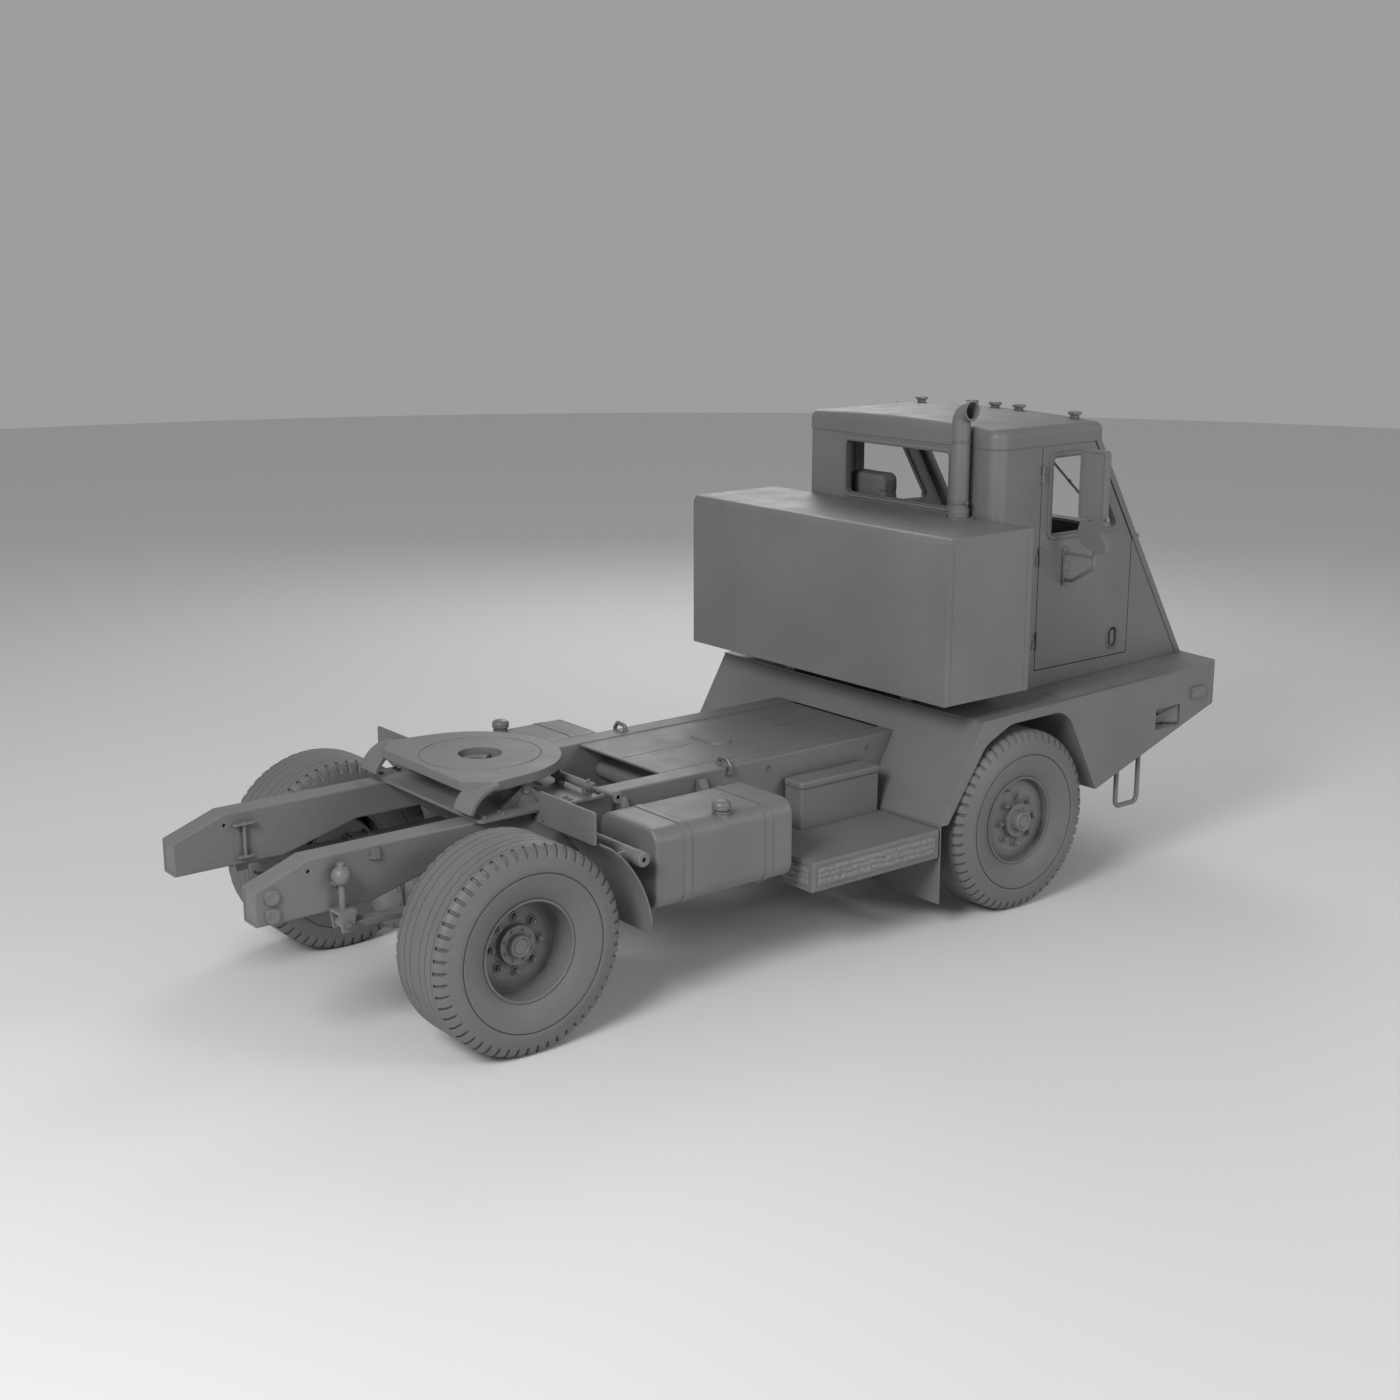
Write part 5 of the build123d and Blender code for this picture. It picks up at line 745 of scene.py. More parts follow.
def door_furniture(side, name):
    """Pivots and lip of the door pull, and the screws of the hinges' two halves."""
    out = Vector((side, 0, 0))
    parts = Build()
    y, z = PULL
    base = Vector((side * (CAB_X - 0.0135), y, z))
    parts.turn(
        [(0.0075, 0), (0.0075, 0.004), (0.006, 0.006), (0, 0.006)],
        18,
        base + Vector((0, 0.027, -0.030)),
        out,
    )
    parts.turn(
        [(0.0045, 0), (0.0045, 0.0135), (0.003, 0.015), (0, 0.015)],
        14,
        base + Vector((0, -0.006, 0.047)),
        out,
    )
    lip = rounded([(side * (CAB_X + 0.004), y + dy, z + dz) for dy, dz in
                   ((0.041, -0.065), (0.041, 0.065), (-0.041, 0.065), (-0.041, -0.065))], 0.040, 8)
    parts.sweep(lip, out, [(-0.003, -0.002), (0.003, -0.002), (0.002, 0.0012), (-0.002, 0.0012)])
    parts.piece(f"door_pull_{name}", f"door_{name}", "trim_plastic")
    screws = Build()
    for zh in HINGE_Z:
        for dz in (0.065, 0.086):
            spot = (side * (CAB_X + 0.004), DOOR_REAR_Y + 0.003 - 0.021, zh + dz)
            screws.rivet(0.0045, 0.002, spot, out)
    screws.piece(f"door_hinge_screws_{name}", f"door_{name}", "cab_paint")
    fixed = Build()
    for zh in HINGE_Z:
        for dz in (0.014, 0.036):
            spot = (side * (CAB_X + 0.004), DOOR_REAR_Y + 0.003 + 0.021, zh + dz)
            fixed.rivet(0.0045, 0.002, spot, out)
    fixed.piece(f"post_hinge_screws_{name}", "chassis", "cab_paint")


def door_seal(side, name):
    """Seals on the frame behind the door's rear and lower edges, just inside the shut line."""
    x = side * (CAB_X - CAB_WALL + 0.010)
    gap = 0.0035
    pts = [(x, DOOR_REAR_Y + gap, DOOR_LOW_Z + 0.02), (x, DOOR_REAR_Y + gap, SEAM_Z - 0.012)]
    seal = Build()
    seal.pipe(pts, 0.0024, 8)
    low = [(x, DOOR_REAR_Y, DOOR_LOW_Z - gap), (x, DOOR_FRONT_Y, DOOR_LOW_Z - gap)]
    seal.pipe(low, 0.0024, 8)
    seal.piece(f"door_seal_{name}", "chassis", "trim_plastic")


def wipers():
    """Two wipers parked on the windscreen: pivot, spring arm and blade."""
    parts = Build()
    for side in (1, -1):
        def on_glass(x, z, lift):
            return Vector((side * x, nose_y(z), z)) + screen_out * lift
        parts.turn(
            [(0.018, 0), (0.018, 0.010), (0.013, 0.020), (0, 0.022)],
            20,
            on_glass(0.60, 2.083, 0),
            screen_out,
        )
        parts.pipe(
            [on_glass(0.60, 2.083, 0.016), on_glass(0.56, 2.14, 0.020), on_glass(0.42, 2.33, 0.018)],
            0.0055,
            10,
        )
        blade = [on_glass(0.30, 2.54, 0.006), on_glass(0.54, 2.16, 0.006)]
        parts.pipe(blade, 0.0045, 8)
        parts.pipe(
            [
                p + screen_out * 0.009
                for p in (blade[0].lerp(blade[1], 0.12), blade[0].lerp(blade[1], 0.88))
            ],
            0.0035,
            8,
        )
        parts.box(0.016, 0.030, 0.016, 0.003, on_glass(0.42, 2.35, 0.004), screen_out)
    parts.piece("wipers", "chassis", "trim_plastic")


def roof_details():
    """Lenses and screws of the marker lamps."""
    lens = Build()
    y = -2.315 + 0.075
    for x, top in ((0, 2.837), (0.200, 2.836), (-0.200, 2.836), (0.652, 2.826), (-0.652, 2.826)):
        for face in (1, -1):
            at = frame_at((x, y + face * 0.0275, top - 0.0092), (0, face, 0))
            lens.add(rounded_box(0.052, 0.010, 0.0012, 0.003), at)
        for dx in (-0.030, 0.030):
            lens.rivet(0.0042, 0.0014, (x + dx, y, top - 0.0004), (0, 0, 1))
    lens.piece("marker_lenses", "chassis", "lamp_plastic")


def cab_fasteners():
    """Rows of rivets down the cab's rear corners and up the sides of the nose."""
    parts = Build()
    for side in (1, -1):
        for k in range(7):
            z = 1.36 + k * 0.205
            parts.rivet(0.005, 0.0022, (side * (CAB_X - 0.0002), -1.500, z), (side, 0, 0))
    for k in range(9):
        z = 1.42 + k * 0.17
        for side in (1, -1):
            y = nose_y(z, 0.024)
            if y < -1.9:
                parts.rivet(0.005, 0.002, (side * (CAB_X + 0.0048), y, z), (side, 0, 0))
    parts.piece("cab_rivets", "chassis", "cab_paint")


# Mirrors.
MIRROR_Y = -1.995
HEAD_X = (0.970, 1.160)
HEAD_Z = (2.240, 2.650)


def mirror_details(side, name):
    """Glass with its rubber edge, the head's clamp on the pole and the bracket's bolts."""
    mid_x, mid_z = side * sum(HEAD_X) / 2, sum(HEAD_Z) / 2
    back = Vector((0, 1, 0))
    glass_y = MIRROR_Y + 0.054 - 0.003
    w, h = 0.158, 0.378
    rings = []
    for k in range(6):
        t = 1 - k / 5
        rings.append(
            [
                (x, y, 0.0018 - 0.0010 * t * t)
                for x, y in rect(w * (0.15 + 0.85 * t), h * (0.15 + 0.85 * t), 0.012 * t + 0.001)
            ]
        )
    glass = Build().add(
        loft([[(x, y, -0.001) for x, y in rect(w, h, 0.013)]] + rings),
        frame_at((mid_x, glass_y, mid_z), back),
    )
    glass.piece(f"mirror_glass_{name}", f"door_{name}", "lamp_plastic")
    parts = Build()
    corners = [
        (mid_x + sx * w / 2, glass_y + 0.0005, mid_z + sz * h / 2)
        for sx, sz in ((1, 1), (-1, 1), (-1, -1), (1, -1))
    ]
    section = [(-0.002, -0.001), (0.0025, -0.001), (0.002, 0.0022), (-0.001, 0.0022)]
    parts.sweep(rounded(corners, 0.014), back, section)
    for z in (2.30, 2.60):
        parts.box(0.040, 0.034, 0.012, 0.004, (side * 1.062, MIRROR_Y + 0.010, z), (0, -1, 0))
        for dx in (-0.012, 0.012):
            parts.bolt(0.005, 0.004, (side * 1.062 + dx, MIRROR_Y - 0.002, z), (0, -1, 0))
    for z in (1.840, 1.900, 1.955, 2.015):
        for dy in (-0.017, 0.017):
            parts.bolt(0.0042, 0.0032, (side * (CAB_X + 0.010), MIRROR_Y - 0.016 + dy, z), (side, 0, 0))
    parts.piece(f"mirror_fittings_{name}", f"door_{name}", "mirror_plastic")


# Rear enclosure and exhaust.
def box_details():
    """Rivets at the top and bottom of each corner strip."""
    parts = Build()
    strips = (BOX_Y[0] + 0.019, BOX_Y[1] - 0.019)
    for side in (1, -1):
        for y in strips:
            for z in (BOX_Z[0] + 0.030, BOX_Z[1] - 0.075):
                parts.rivet(0.0065, 0.0028, (side * (BOX_X - 0.0028), y, z), (side, 0, 0))
        for z in (BOX_Z[0] + 0.030, BOX_Z[1] - 0.075):
            parts.rivet(0.0065, 0.0028, (side * (BOX_X - 0.030), BOX_Y[1] - 0.0028, z), (0, 1, 0))
    parts.piece("box_rivets", "chassis", "body_paint")


STACK = (-0.600, -1.319)
STACK_R = 0.054


def exhaust_details():
    """Bands round the pipe, the clamp's ear with its bolt and the foot flange with its bolts."""
    parts = Build()
    x, y = STACK
    for z, h in ((BOX_Z[1] + 0.085, 0.020), (2.700, 0.014)):
        band = [
            (STACK_R - 0.001, 0), (STACK_R + 0.0035, 0.0005), (STACK_R + 0.0045, h / 2),
            (STACK_R + 0.0035, h - 0.0005), (STACK_R - 0.001, h),
        ]
        parts.turn(band, 48, (x, y, z), (0, 0, 1), (0, 1, 0))
    ear = frame_at((x - 0.058, y + 0.004, BOX_Z[1] + 0.095), (-1, 0, 0))
    parts.add(rounded_box(0.022, 0.020, 0.014, 0.003), ear)
    parts.bolt(0.006, 0.005, (x - 0.065, y + 0.015, BOX_Z[1] + 0.095), (0, 1, 0))
    flange = [
        (STACK_R, 0), (0.092, 0), (0.093, 0.001), (0.093, 0.0065), (0.091, 0.008),
        (STACK_R + 0.004, 0.008),
    ]
    parts.turn(flange, 48, (x, y, BOX_Z[1] - 0.001), (0, 0, 1), (0, 1, 0))
    for k in range(6):
        a = 2 * pi * (k + 0.5) / 6
        if BOX_Y[0] < y + 0.078 * sin(a) - 0.008:
            parts.bolt(0.006, 0.005, (x + 0.078 * cos(a), y + 0.078 * sin(a), BOX_Z[1] + 0.007), (0, 0, 1))
    parts.piece("stack_fittings", "chassis", "pipe_metal")


# Bodywork round the front wheels.
def front_fasteners():
    """Rivets on the fenders and along the deck's edge, and a raised grip panel on each side of the deck."""
    parts = Build()
    for side in (1, -1):
        for y, z in ((-2.253, 0.830), (-2.538, 0.826)):
            parts.rivet(0.0075, 0.003, (side * (DECK_X - 0.0004), y, z), (side, 0, 0))
        for k in range(5):
            y = -3.0 + k * 0.20
            parts.rivet(0.007, 0.003, (side * 1.085, y, deck_z(y) - 0.0004), (0, 0, 1))
    parts.piece("front_fasteners", "chassis", "body_paint")
    panels = Build()
    y = -2.105
    for side in (1, -1):
        at = frame_at((side * 1.040, y, deck_z(y) - 0.0006), (0, 50 / 2020, 1), (0, 1, 0))
        panels.add(rounded_box(0.170, 0.770, 0.0042, 0.008), at)
        for k in range(24):
            rib = at @ Matrix.Translation((0, -0.345 + k * 0.030, 0.0040))
            panels.add(
                loft(
                    [
                        [(x, v, 0) for x, v in rect(0.140, 0.007, 0.003, 2)],
                        [(x, v, 0.0016) for x, v in rect(0.136, 0.003, 0.001, 2)],
                    ]
                ),
                rib,
            )
    panels.piece("deck_grips", "chassis", "body_paint")


def step_pockets():
    """Liner and tread of the foothold in each fender."""
    y, z, l, h, depth = -2.652, 0.955, 0.235, 0.130, 0.118
    for side, name in SIDES:
        shape = Build()
        x = side * (DECK_X - 0.012)
        def ring(grow, dx):
            return [
                Vector((x - side * dx, y + py, z + pz))
                for py, pz in rect(l + 2 * grow, h + 2 * grow, 0.012 + grow)
            ]
        rings = [
            ring(0.004, 0.0), ring(0.0, 0.0), ring(0.0, depth - 0.012), ring(-0.010, depth),
            ring(-0.05, depth),
        ]
        shape.skin(rings, caps=False)
        last = ring(-0.05, depth)
        shape.add((last, [list(range(len(last)))]))
        back = [ring(0.004, 0.0), ring(0.004, depth + 0.004)]
        shape.skin(back, caps=False)
        end = ring(0.004, depth + 0.004)
        shape.add((end, [list(range(len(end)))]))
        for k in range(4):
            rib_x = x - side * (0.018 + k * 0.026)
            rib = [(rib_x, y - 0.10, z - h / 2 + 0.0005), (rib_x, y + 0.10, z - h / 2 + 0.0005)]
            shape.sweep(
                rib,
                (0, 0, 1),
                [(-0.005, -0.001), (0.005, -0.001), (0.003, 0.005), (-0.003, 0.005)],
                closed=False,
            )
        shape.piece(f"step_pocket_{name}", "chassis", "body_paint")


def side_lamps():
    """Lens with ribs and two screws on each side marker."""
    for side, name in SIDES:
        y, z = -2.931, 1.075
        out = (side, 0, 0)
        shape = Build()
        x = side * (DECK_X + 0.0136)
        shape.box(0.112, 0.044, 0.004, 0.006, (x, y, z), out)
        for k in range(5):
            line = [
                (x + side * 0.0038, y - 0.046, z - 0.014 + k * 0.007),
                (x + side * 0.0038, y + 0.046, z - 0.014 + k * 0.007),
            ]
            shape.sweep(line, out, [(-0.0012, 0), (0.0012, 0), (0, 0.0010)], closed=False)
        for dy in (-0.063, 0.063):
            shape.rivet(0.0042, 0.0018, (x, y + dy, z), out)
        shape.piece(f"side_lens_{name}", "chassis", "lamp_plastic")


NOSE_SLOPE = (0, -1, NOSE_RAKE)
LAMP_X = 0.590
LAMP_Z = 1.420
GRILLE_Z = (1.520, 1.900)
GRILLE_HALF_W = 0.420


def on_nose(x, z):
    return Vector((x, nose_y(z), z))


def nose_details():
    """Head lamps and turn lamps in bezels, and a framed grille of louvres, on the raked nose."""
    bezels = Build()
    lenses = Build()
    for side in (1, -1):
        at = frame_at(on_nose(side * LAMP_X, LAMP_Z), NOSE_SLOPE)
        rim = [
            (0.0, 0.004), (0.086, 0.004), (0.090, 0.006), (0.093, 0.018), (0.099, 0.020),
            (0.104, 0.014), (0.106, -0.002),
        ]
        bezels.add(lathe(rim, 56), at)
        glass = [(0.0905, 0.008), (0.080, 0.0145), (0.055, 0.0205), (0.028, 0.0235), (0.0, 0.0245)]
        lenses.add(lathe(glass, 56), at)
        for k in range(3):
            a = 2 * pi * k / 3 + pi / 2
            bezels.add(
                rivet(0.0045, 0.002),
                at @ Matrix.Translation((0.1005 * cos(a), 0.1005 * sin(a), 0.0175)),
            )
        turn = frame_at(on_nose(side * (LAMP_X + 0.155), LAMP_Z), NOSE_SLOPE)
        bezels.add(rounded_box(0.066, 0.130, 0.012, 0.006), turn)
        lenses.add(rounded_box(0.048, 0.112, 0.016, 0.006), turn @ Matrix.Translation((0, 0, 0.0035)))
    bezels.piece("lamp_bezels", "chassis", "cab_paint")
    lenses.piece("lamp_lenses", "chassis", "lamp_plastic")
    grille = Build()
    z0, z1 = GRILLE_Z
    corners = [
        on_nose(x, z)
        for x, z in (
            (GRILLE_HALF_W, z0), (-GRILLE_HALF_W, z0), (-GRILLE_HALF_W, z1), (GRILLE_HALF_W, z1),
        )
    ]
    section = [(-0.012, -0.001), (0.012, -0.001), (0.010, 0.009), (-0.010, 0.009)]
    grille.sweep(rounded(corners, 0.030), NOSE_SLOPE, section)
    louvre = [
        (-0.014, -0.001), (0.010, -0.001), (0.010, 0.006), (0.004, 0.0165), (0.000, 0.0165),
        (-0.012, 0.002),
    ]
    for k in range(11):
        z = z0 + 0.034 + k * (z1 - z0 - 0.068) / 10
        line = [on_nose(GRILLE_HALF_W - 0.030, z), on_nose(0.030 - GRILLE_HALF_W, z)]
        grille.sweep(line, NOSE_SLOPE, louvre, closed=False)
    grille.piece("nose_grille", "chassis", "cab_paint")


# Side steps, batteries, tanks and mudguards.
STEP_X = (0.536, 1.161)
STEP_Y = (-0.665, 0.285)
STEP_Z = (0.450, 0.620)
BAND_T = 0.004
GRIP_LIFT = 0.0105


def grip_patch(origin, along, up, out, length, height, seed):
    """Rough pressed grip: rows of broken, wavy ridges with beads between them, as one displaced sheet."""
    cells_l, cells_h = int(length / 0.0040), int(height / 0.0040)
    verts, faces = [], []
    for j in range(cells_h + 1):
        v = j / cells_h
        for i in range(cells_l + 1):
            u = i / cells_l
            s, t = u * length, v * height
            wave = noise.noise(Vector((s * 16, t * 14, seed))) * 0.009
            row = ((t + wave) / 0.034) % 1
            ridge = max(0.0, 1 - abs(row - 0.5) * 2.6)
            cell = max(0.0, noise.noise(Vector((s * 42, t * 55, seed + 5))) * 1.9)
            gap = noise.noise(Vector((s * 30, int((t + wave) / 0.034) * 3.7, seed)))
            broken = 1.0 if gap > -0.15 else 0.25
            bead = max(0.0, noise.noise(Vector((s * 120, t * 120, seed + 9)))) * 0.5
            edge = min(1.0, min(u, 1 - u) * length / 0.006, min(v, 1 - v) * height / 0.006)
            lift = (
                0.55 * ridge ** 0.5 * broken + 0.35 * cell + 0.12 * bead
            ) * GRIP_LIFT * edge - 0.0006 * (1 - edge)
            verts.append(Vector(origin) + Vector(along) * s + Vector(up) * t + Vector(out) * lift)
    n = cells_l + 1
    for j in range(cells_h):
        for i in range(cells_l):
            a = j * n + i
            faces.append([a, a + 1, a + n + 1, a + n])
    return verts, faces


def step_grips():
    for side, name in SIDES:
        z0 = STEP_Z[0] + 0.030
        outer = Build()
        start_y = STEP_Y[0] + 0.034
        x = side * (STEP_X[1] + BAND_T)
        patch = grip_patch(
            (x, start_y, z0 + 0.004), (0, 1, 0), (0, 0, 1), (side, 0, 0), 0.882, 0.102, 3 + side,
        )
        outer.add(patch)
        outer.piece(f"step_grip_outer_{name}", "chassis", "plate_steel", sharp=70)
        rear = Build()
        y = STEP_Y[1] + BAND_T
        mid = (STEP_X[0] + STEP_X[1]) / 2 + 0.120
        half = (STEP_X[1] - STEP_X[0] - 0.300) / 2 - 0.004
        patch = grip_patch(
            (side * (mid - half), y, z0 + 0.004),
            (side, 0, 0),
            (0, 0, 1),
            (0, 1, 0),
            2 * half,
            0.102,
            9 + side,
        )
        rear.add(patch)
        rear.piece(f"step_grip_rear_{name}", "chassis", "plate_steel", sharp=70)
        top = Build()
        for y in (STEP_Y[0] + 0.030, STEP_Y[1] - 0.030):
            for x in (STEP_X[0] + 0.20, STEP_X[1] - 0.030):
                top.rivet(0.006, 0.0022, (side * x, y, STEP_Z[1] - 0.0003), (0, 0, 1))
        for k in range(4):
            x = STEP_X[0] + 0.10 + k * 0.13
            top.bolt(0.006, 0.005, (side * x, STEP_Y[1] - 0.0008, STEP_Z[0] + 0.018), (0, 1, 0))
        top.piece(f"step_bolts_{name}", "chassis", "plate_steel")


BATTERY = ((0.536, 0.686), (-0.645, -0.045), (0.620, 0.895))


def battery_seam(side, name):
    """Seam under the lid of each battery box."""
    (x0, x1), (y0, y1), (z0, z1) = BATTERY
    shape = Build()
    lid_z = z1 - 0.0340
    x = side * (x1 + 0.0002)
    line = [(x, y0 + 0.020, lid_z - 0.008), (x, y1 - 0.020, lid_z - 0.008)]
    shape.sweep(
        line,
        (side, 0, 0),
        [(-0.002, -0.001), (0.002, -0.001), (0.001, 0.0014), (-0.001, 0.0014)],
        closed=False,
    )
    shape.piece(f"battery_seam_{name}", "chassis", "trim_plastic")


TANK_X = (0.620, 1.110)
TANK_Y = (0.385, 1.293)
TANK_Z = (0.555, 0.985)
STRAP_Y = (0.555, 1.095)
FILLER = (1.048, 0.825)


def round_section(grow=0.0, r=0.080):
    """Tank's rounded section as points of x and z."""
    w, h = TANK_X[1] - TANK_X[0] + 2 * grow, TANK_Z[1] - TANK_Z[0] + 2 * grow
    mx, mz = sum(TANK_X) / 2, sum(TANK_Z) / 2
    return [(mx + x, mz + z) for x, z in rect(w, h, r + grow, 8)]


def tank_details(side, name):
    """Rolled edges of the straps, weld beads at the ends, the filler's domed cap and the drain plug."""
    straps = Build()
    for y in STRAP_Y:
        for dy in (-0.022, 0.022):
            rings = []
            for grow, off in ((0.0030, -0.003), (0.0048, -0.002), (0.0048, 0.002), (0.0030, 0.003)):
                rings.append([Vector((side * x, y + dy + off, z)) for x, z in round_section(grow)])
            straps.skin(rings, caps=False)
    straps.piece(f"tank_strap_edges_{name}", "chassis", "tank_metal")
    beads = Build()
    for y in (TANK_Y[0] + 0.030, TANK_Y[1] - 0.030):
        rings = []
        for grow, off in (
            (-0.0010, -0.0040), (0.0010, -0.0022), (0.0016, 0.0), (0.0010, 0.0022), (-0.0010, 0.0040),
        ):
            rings.append([Vector((side * x, y + off, z)) for x, z in round_section(grow)])
        beads.skin(rings, caps=False)
    dome = [
        (0.0505, -0.012), (0.0510, -0.006), (0.0500, 0.000), (0.0460, 0.0075), (0.0360, 0.0140),
        (0.0200, 0.0185), (0, 0.0200),
    ]
    beads.turn(dome, 48, (side * FILLER[0], FILLER[1], TANK_Z[1] + 0.0475), (0, 0, 1))
    neck = [(0.040, 0.0), (0.046, 0.001), (0.047, 0.004), (0.044, 0.008), (0.040, 0.009)]
    beads.turn(neck, 40, (side * FILLER[0], FILLER[1], TANK_Z[1] - 0.0005), (0, 0, 1))
    beads.bolt(0.014, 0.010, (side * 0.86, 0.84, TANK_Z[0] + 0.0005), (0, 0, -1))
    beads.piece(f"tank_fittings_{name}", "chassis", "tank_metal")


GUARD_X = (0.690, 1.165)
GUARD_T = 0.010
GUARD_ARC = ((1.615, 0.972), (1.445, 0.770), (1.361, 0.470))
GUARD_CORNER = 0.085
GUARD_TUBE = (1.415, 0.880, 0.038)
GUARD_BRACKET_X = (0.780, 1.055)
GUARD_BRACKET = ((1.405, 0.908), (1.535, 0.902), (1.471, 0.820), (1.405, 0.850))


def circle_through(a, b, c):
    """Centre and radius of the circle through three points."""
    d = 2 * (a[0] * (b[1] - c[1]) + b[0] * (c[1] - a[1]) + c[0] * (a[1] - b[1]))
    sa, sb, sc = (p[0] ** 2 + p[1] ** 2 for p in (a, b, c))
    u = (sa * (b[1] - c[1]) + sb * (c[1] - a[1]) + sc * (a[1] - b[1])) / d
    v = (sa * (c[0] - b[0]) + sb * (a[0] - c[0]) + sc * (b[0] - a[0])) / d
    return (u, v), hypot(a[0] - u, a[1] - v)


def mudguards():
    """Curved guards with their lower corners rounded, on bored tubes from the rails."""
    (cy, cz), r = circle_through(*GUARD_ARC)
    start, end = (atan2(p[1] - cz, p[0] - cy) for p in (GUARD_ARC[0], GUARD_ARC[2]))
    shape = Build()
    tube_y, tube_z, tube_r = GUARD_TUBE
    length = 1.173 - RAIL_X[1]
    bore = [
        (0, length - 0.060), (0.0125, length - 0.060), (0.0125, length - 0.001), (0.0140, length),
        (tube_r - 0.004, length), (tube_r, length - 0.004), (tube_r, 0.0),
    ]
    steps = 48
    for side in (1, -1):
        rings = []
        for k in range(steps + 1):
            t = 1 - (1 - k / steps) ** 1.6
            angle = start + (end - start) * t
            left = abs(end - angle) * r
            inset = 0.0
            if left < GUARD_CORNER:
                inset = GUARD_CORNER - (GUARD_CORNER ** 2 - (GUARD_CORNER - left) ** 2) ** 0.5
            x0, x1 = GUARD_X[0] + inset, GUARD_X[1] - inset
            ring = []
            for x, off in (
                (x0, 0.002), (x0 + 0.002, 0), (x1 - 0.002, 0), (x1, 0.002), (x1, GUARD_T - 0.002),
                (x1 - 0.002, GUARD_T), (x0 + 0.002, GUARD_T), (x0, GUARD_T - 0.002),
            ):
                rr = r + off
                ring.append(Vector((side * x, cy + rr * cos(angle), cz + rr * sin(angle))))
            rings.append(ring)
        shape.skin(rings)
        shape.turn(bore, 40, (side * RAIL_X[1], tube_y, tube_z), (side, 0, 0))
        for x in (0.720, 1.130):
            band = [
                (tube_r - 0.001, -0.016), (tube_r + 0.003, -0.015), (tube_r + 0.003, 0.015),
                (tube_r - 0.001, 0.016),
            ]
            shape.turn(band, 32, (side * x, tube_y, tube_z), (side, 0, 0))
        for x in GUARD_BRACKET_X:
            plate_at = side * x
            rings = [
                [Vector((plate_at + dx, py, pz)) for py, pz in GUARD_BRACKET]
                for dx in (-0.007, 0.007)
            ]
            shape.skin(rings)
        low = end + (start - end) * 0.14
        for x in (1.125, 0.740):
            spot = (
                side * x,
                cy + (r + GUARD_T - 0.0005) * cos(low),
                cz + (r + GUARD_T - 0.0005) * sin(low),
            )
            shape.bolt(0.010, 0.005, spot, (0, cos(low), sin(low)))
    obj = shape.piece("mudguard_shells", "chassis", "frame_paint")
    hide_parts("mudguards")


def lamp_plate_bolts():
    shape = Build()
    for side in (1, -1):
        for x, z in ((0.610, 0.992), (0.545, 0.992)):
            shape.bolt(0.008, 0.006, (side * x, 1.6395, z), (0, 1, 0))
    shape.piece("lamp_plate_bolts", "chassis", "frame_paint")


# Frame.
def frame_fittings():
    """Bolts, grommets and tail plugs on the rails, the pipe hoops over them and the tail's inner posts."""
    bolts = Build()
    groups = (
        ((0.555, 0.86), (0.555, 0.93), (1.095, 0.86), (1.095, 0.93)),
        ((-0.58, 0.80), (-0.52, 0.80), (-0.15, 0.80), (-0.09, 0.80)),
        ((1.35, 0.80), (1.48, 0.80), (1.35, 0.96), (1.48, 0.96)),
        ((2.535, 1.000), (2.573, 0.964)),
        ((2.735, 0.735), (2.795, 0.735)),
        ((-1.62, 0.95), (-1.08, 0.95), (-2.6, 0.98), (-2.8, 0.98)),
    )
    for side in (1, -1):
        for group in groups:
            for y, z in group:
                bolts.bolt(0.009, 0.007, (side * (RAIL_X[1] - 0.0003), y, z), (side, 0, 0))
        for z in (0.880, 0.790):
            ring = [(0.0, 0.0), (0.020, 0.0), (0.022, 0.0015), (0.0365, 0.0015), (0.0375, -0.0005)]
            bolts.turn(ring, 36, (side * (RAIL_X[1] + 0.0138), 3.105, z), (side, 0, 0))
    bolts.piece("rail_bolts", "chassis", "frame_paint")
    grommets = Build()
    for side in (1, -1):
        for y, z in ((0.063, 0.968), (-0.692, 0.960)):
            ring = [
                (0.0, 0.0005), (0.008, 0.0005), (0.0095, 0.003), (0.013, 0.0045), (0.0165, 0.003),
                (0.017, 0.0),
            ]
            grommets.turn(ring, 28, (side * RAIL_X[1], y, z), (side, 0, 0))
    grommets.piece("rail_grommets", "chassis", "trim_plastic")
    hoops = Build()
    for side in (1, -1):
        y = 0.348
        path = bend(
            [
                (side * 0.436, y, RAIL_TOP - 0.002),
                (side * 0.442, y, RAIL_TOP + 0.034),
                (side * 0.512, y, RAIL_TOP + 0.040),
                (side * 0.540, y, RAIL_TOP + 0.006),
                (side * 0.540, y, 0.985),
            ],
            0.020,
            6,
        )
        hoops.pipe(path, 0.0120, 14)
        foot = [(0.020, -0.001), (0.020, 0.003), (0.016, 0.006), (0.0118, 0.010)]
        hoops.turn(foot, 20, (side * 0.436, y, RAIL_TOP), (0, 0, 1))
        hoops.box(0.034, 0.024, 0.020, 0.004, (side * (RAIL_X[1] - 0.0005), y, 0.988), (side, 0, 0))
    hoops.piece("rail_hoops", "chassis", "pipe_metal")
    posts = Build()
    y = 2.809
    for side in (1, -1):
        x = side * (RAIL_X[0] - 0.016)
        posts.pipe([(x, y, 0.790), (x, y, 0.958)], 0.0105, 14)
        for z, w in ((0.780, 0.086), (0.954, 0.120)):
            posts.box(0.034, w, 0.012, 0.003, (side * (RAIL_X[0] - 0.0165), y, z), (0, 0, 1), (0, 1, 0))
        posts.bolt(0.008, 0.006, (x, y, 0.9655), (0, 0, 1))
    posts.piece("rail_posts", "chassis", "frame_paint")


WALK_Y = (-0.902, 0.710)


